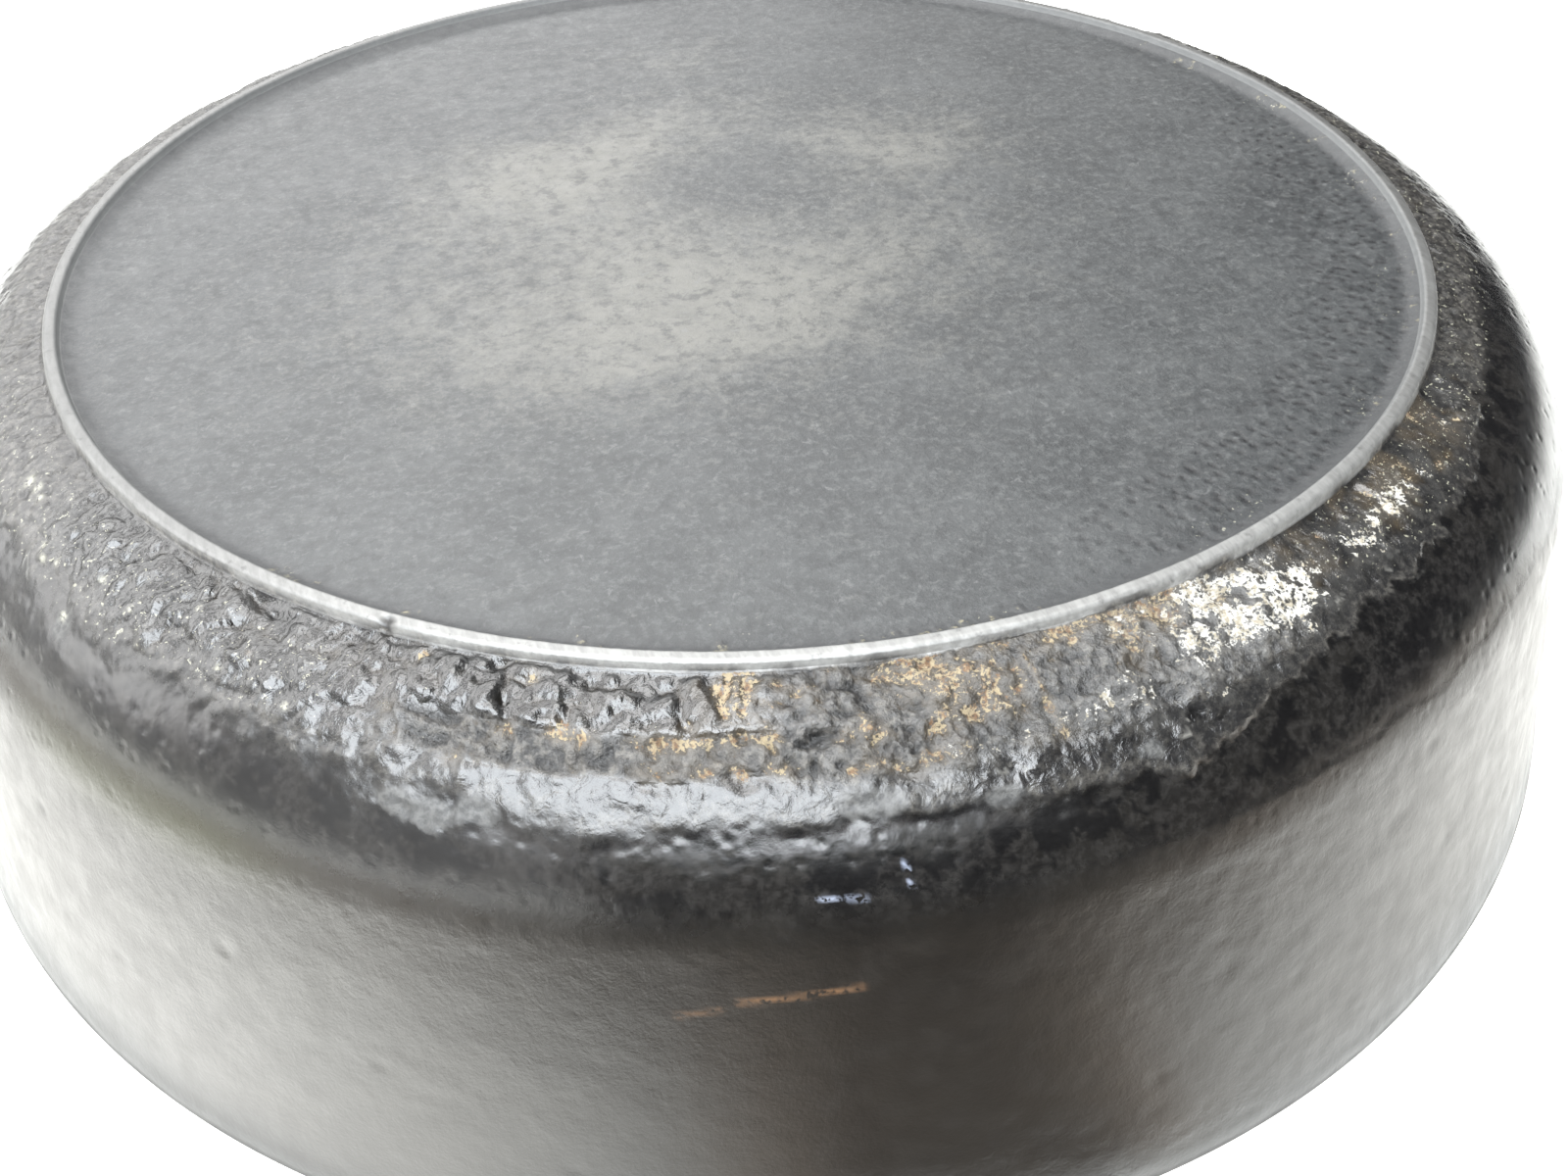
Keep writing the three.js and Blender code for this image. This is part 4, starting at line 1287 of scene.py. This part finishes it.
def make_camera():
    """At the photograph's viewing angle: 41 degrees down, 18 degrees round from opposite the bail."""
    data = bpy.data.cameras.new("camera")
    data.sensor_fit = "HORIZONTAL"
    data.sensor_width = 36.0
    data.lens = CAMERA_LENS
    obj = bpy.data.objects.new("camera", data)
    bpy.context.scene.collection.objects.link(obj)
    turn = Matrix.Rotation(CAMERA_TURN, 3, "Z")
    place = turn @ CAMERA_PLACE + Vector((0, 0, RING_TOP * MM))
    axes = Matrix((turn @ CAMERA_RIGHT, turn @ CAMERA_UP, -(turn @ CAMERA_AHEAD))).transposed()
    obj.matrix_world = Matrix.Translation(place) @ axes.to_4x4()
    data.clip_start = 0.01
    bpy.context.scene.camera = obj


def plain_emission(name, colour, strength):
    material = bpy.data.materials.new(name)
    material.use_nodes = True
    tree = material.node_tree
    tree.nodes.clear()
    out = tree.nodes.new("ShaderNodeOutputMaterial")
    glow = tree.nodes.new("ShaderNodeEmission")
    glow.inputs["Color"].default_value = (*colour, 1)
    glow.inputs["Strength"].default_value = strength
    tree.links.new(glow.outputs[0], out.inputs[0])
    return material


FLOOR_HALF = 20.0
FLOOR_TINT = (1, 1, 0.96, 1)
FLOOR_GLOW = 0.9


def make_floor():
    """A pale floor that also glows a little, as the photograph's table is overexposed."""
    size = FLOOR_HALF
    z = RIM_Z * MM
    corners = [(-size, -size, z), (size, -size, z), (size, size, z), (-size, size, z)]
    floor = piece("floor", mesh_from("floor", corners, [(0, 1, 2, 3)]))
    m = Shader("floor_white")
    tone = m.mix(m.ramp(m.noise(40, 3), 0.3, 0.7), (0.865, 0.865, 0.83), (0.885, 0.885, 0.85))
    m.surface.inputs["Emission Color"].default_value = FLOOR_TINT
    m.surface.inputs["Emission Strength"].default_value = FLOOR_GLOW
    floor.data.materials.append(m.finish(tone, 0.6, 0.0, 0.3))


def only_mirrored(card):
    """The card only shows in reflections, so it neither hides the view nor shades the floor."""
    card.visible_camera = False
    card.visible_diffuse = False
    card.visible_shadow = False
    card.visible_transmission = False


# Height of the glow and the cards over the floor, and a card's inner and outer radius, in metres.
CARD_LIFT = 0.001
CARD_NEAR, CARD_FAR = 0.519, 0.52
CARD_STEPS = 12
ROOM_TONE = (0.07, 0.07, 0.075)


def sector_card(name, start, end, height):
    """A dim upright card between two azimuths, on the floor where the table's glow ends."""
    near, far, z = CARD_NEAR, CARD_FAR, RIM_Z * MM + CARD_LIFT
    points, quads = [], []
    for azimuth in np.linspace(start, end, CARD_STEPS + 1):
        c, s = math.cos(math.radians(azimuth)), math.sin(math.radians(azimuth))
        points += [(near * c, near * s, z), (far * c, far * s, z), (far * c, far * s, z + height)]
    for a in range(0, 3 * CARD_STEPS, 3):
        b = a + 3
        quads += [(a, b, b + 1, a + 1), (a + 1, b + 1, b + 2, a + 2)]
    card = piece(name, mesh_from(name, points, quads))
    card.data.materials.append(plain_emission(name, ROOM_TONE, 1.0))
    only_mirrored(card)


# Brightness of the table that the wall mirrors: for each distance from the pot's axis in metres,
# (azimuth, radiance) points. The camera and the photographer stand in front and darken the middle.
TABLE_GLOW = [
    (0.150, [(-175, 2.1), (-145, 2.6), (-127, 1.9), (-119, 1.5), (-111, 0.8), (-103, 0.20), (-90, 0.20),
             (-86, 0.5), (-82, 1.0), (-72, 1.25), (-60, 1.3), (-45, 1.7), (-20, 2.2)]),
    (0.180, [(-175, 2.2), (-150, 2.5), (-135, 2.3), (-127, 1.8), (-119, 1.4), (-111, 0.6), (-103, 0.25),
             (-94, 0.22), (-86, 0.40), (-78, 1.05), (-68, 1.4), (-50, 1.85), (-20, 2.2)]),
    (0.200, [(-175, 2.1), (-150, 2.0), (-138, 1.9), (-129, 1.3), (-120, 0.70), (-111, 0.38), (-102, 0.25),
             (-92, 0.20), (-84, 0.36), (-75, 0.7), (-66, 1.0), (-57, 1.3), (-45, 1.7), (-20, 2.0)]),
    (0.215, [(-175, 1.6), (-150, 1.25), (-140, 1.0), (-130, 0.55), (-121, 0.24), (-111, 0.24), (-92, 0.14),
             (-83, 0.16), (-73, 0.33), (-62, 0.85), (-45, 1.4), (-20, 1.8)]),
    (0.260, [(-175, 0.9), (-150, 0.7), (-132, 0.33), (-122, 0.16), (-91, 0.07), (-81, 0.13), (-71, 0.26),
             (-62, 0.6), (-50, 0.9), (-20, 1.3)]),
    (0.515, [(-175, 0.4), (-150, 0.28), (-132, 0.10), (-60, 0.08), (-45, 0.15), (-20, 0.3)]),
]


# How much the brighter half is raised, and the tints of the dim and the bright table.
GLOW_GAIN = 0.62
DIM_TINT = (1.18, 0.98, 0.80)
BRIGHT_TINT = (1.0, 1.0, 0.955)


def glow_material():
    """Emission in the colour stored on the mesh."""
    material = plain_emission("table_glow", (1, 1, 1), 1.0)
    tree = material.node_tree
    colour = tree.nodes.new("ShaderNodeAttribute")
    colour.attribute_name = "glow"
    glow = next(node for node in tree.nodes if node.type == "EMISSION")
    tree.links.new(colour.outputs["Color"], glow.inputs["Color"])
    return material


def make_table_glow():
    """A sheet on the table in front of the pot, seen only in reflections, with graded brightness."""
    azimuths = np.arange(-200.0, -19.0, 2.5)
    radii = np.concatenate([np.arange(0.150, 0.260, 0.005), np.linspace(0.260, 0.515, 8)])
    bands = np.array([turning(azimuths, points) for _, points in TABLE_GLOW])
    distances = [distance for distance, _ in TABLE_GLOW]
    glow = np.array([[np.interp(r, distances, bands[:, i]) for i in range(len(azimuths))] for r in radii])
    z = RIM_Z * MM + CARD_LIFT
    points = [(r * math.cos(a), r * math.sin(a), z) for r in radii for a in np.radians(azimuths)]
    n = len(azimuths)
    quads = [(i * n + j, i * n + j + 1, (i + 1) * n + j + 1, (i + 1) * n + j)
             for i in range(len(radii) - 1) for j in range(n - 1)]
    sheet = piece("table_glow", mesh_from("table_glow", points, quads))
    level = glow.ravel()[:, None]
    level = level * (1 + GLOW_GAIN * smooth(level, 0.2, 0.7))
    warm = 1 - smooth(level, 0.3, 1.8)
    tint = warm * np.array(DIM_TINT) + (1 - warm) * np.array(BRIGHT_TINT)
    colour = np.concatenate([level * tint, np.ones_like(level)], axis=1).astype(np.float32)
    sheet.data.attributes.new("glow", "FLOAT_COLOR", "POINT").data.foreach_set("color", colour.ravel())
    sheet.data.materials.append(glow_material())
    only_mirrored(sheet)


LIGHT_TARGET = Vector((0, 0, -0.02))


def make_world():
    """Pale surroundings."""
    world = bpy.data.worlds.new("studio")
    world.use_nodes = True
    world.node_tree.nodes["Background"].inputs[0].default_value = (1, 1, 1, 1)
    world.node_tree.nodes["Background"].inputs[1].default_value = 0.7
    bpy.context.scene.world = world


def soft_box(name, azimuth, elevation, distance, size, radiance, colour=(1, 1, 1)):
    """A soft box of the given size and brightness, aimed at the pot."""
    data = bpy.data.lights.new(name, "AREA")
    data.shape = "RECTANGLE"
    data.size, data.size_y = size
    data.energy = radiance * math.pi * size[0] * size[1]
    data.color = colour
    obj = bpy.data.objects.new(name, data)
    a, e = math.radians(azimuth), math.radians(elevation)
    obj.location = Vector((math.cos(a) * math.cos(e), math.sin(a) * math.cos(e), math.sin(e))) * distance
    obj.rotation_euler = (LIGHT_TARGET - obj.location).to_track_quat("-Z", "Y").to_euler()
    obj.visible_camera = False
    bpy.context.scene.collection.objects.link(obj)


def make_light():
    """Four soft boxes for windows, with the glowing table and the dim room that the pot mirrors."""
    make_world()
    make_table_glow()
    sector_card("dark_room", -126, -72, 0.28)
    sector_card("dark_corner", -72, 45, 0.85)
    soft_box("front_window", -124, 54, 1.6, (1.5, 1.25), 7.0, (0.90, 0.95, 1.0))
    soft_box("top_window", 100, 80, 1.7, (1.5, 0.9), 4.5)
    soft_box("back_window", 97, 32, 2.0, (1.9, 1.3), 2.1)
    soft_box("left_window", 152, 30, 2.0, (1.7, 1.3), 2.8)


# ---------------------------------------------------------------- build
bpy.context.scene.view_settings.view_transform = "Standard"
make_camera()
make_floor()
make_light()

iron = pot_material()
lid_iron = lid_material()
bail_steel = bail_material()
pieces = [
    (make_pot_skin(), iron, "pot", "pot_casting", "pot_iron"),
    (make_ear("ear_right", 1), iron, "pot", None, "pot_iron"),
    (make_ear("ear_left", -1), iron, "pot", None, "pot_iron"),
    (make_lid_plate(), lid_iron, "lid", "lid_casting", "lid_iron"),
    (make_lid_handle(), lid_iron, "lid", None, "lid_iron"),
    (make_bail(), bail_steel, "bail", "bail_wire", "bail_steel"),
]
for obj, material, body, node, slot in pieces:
    obj.data.materials.append(material)
    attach(obj, body)
    if node:
        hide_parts(node)
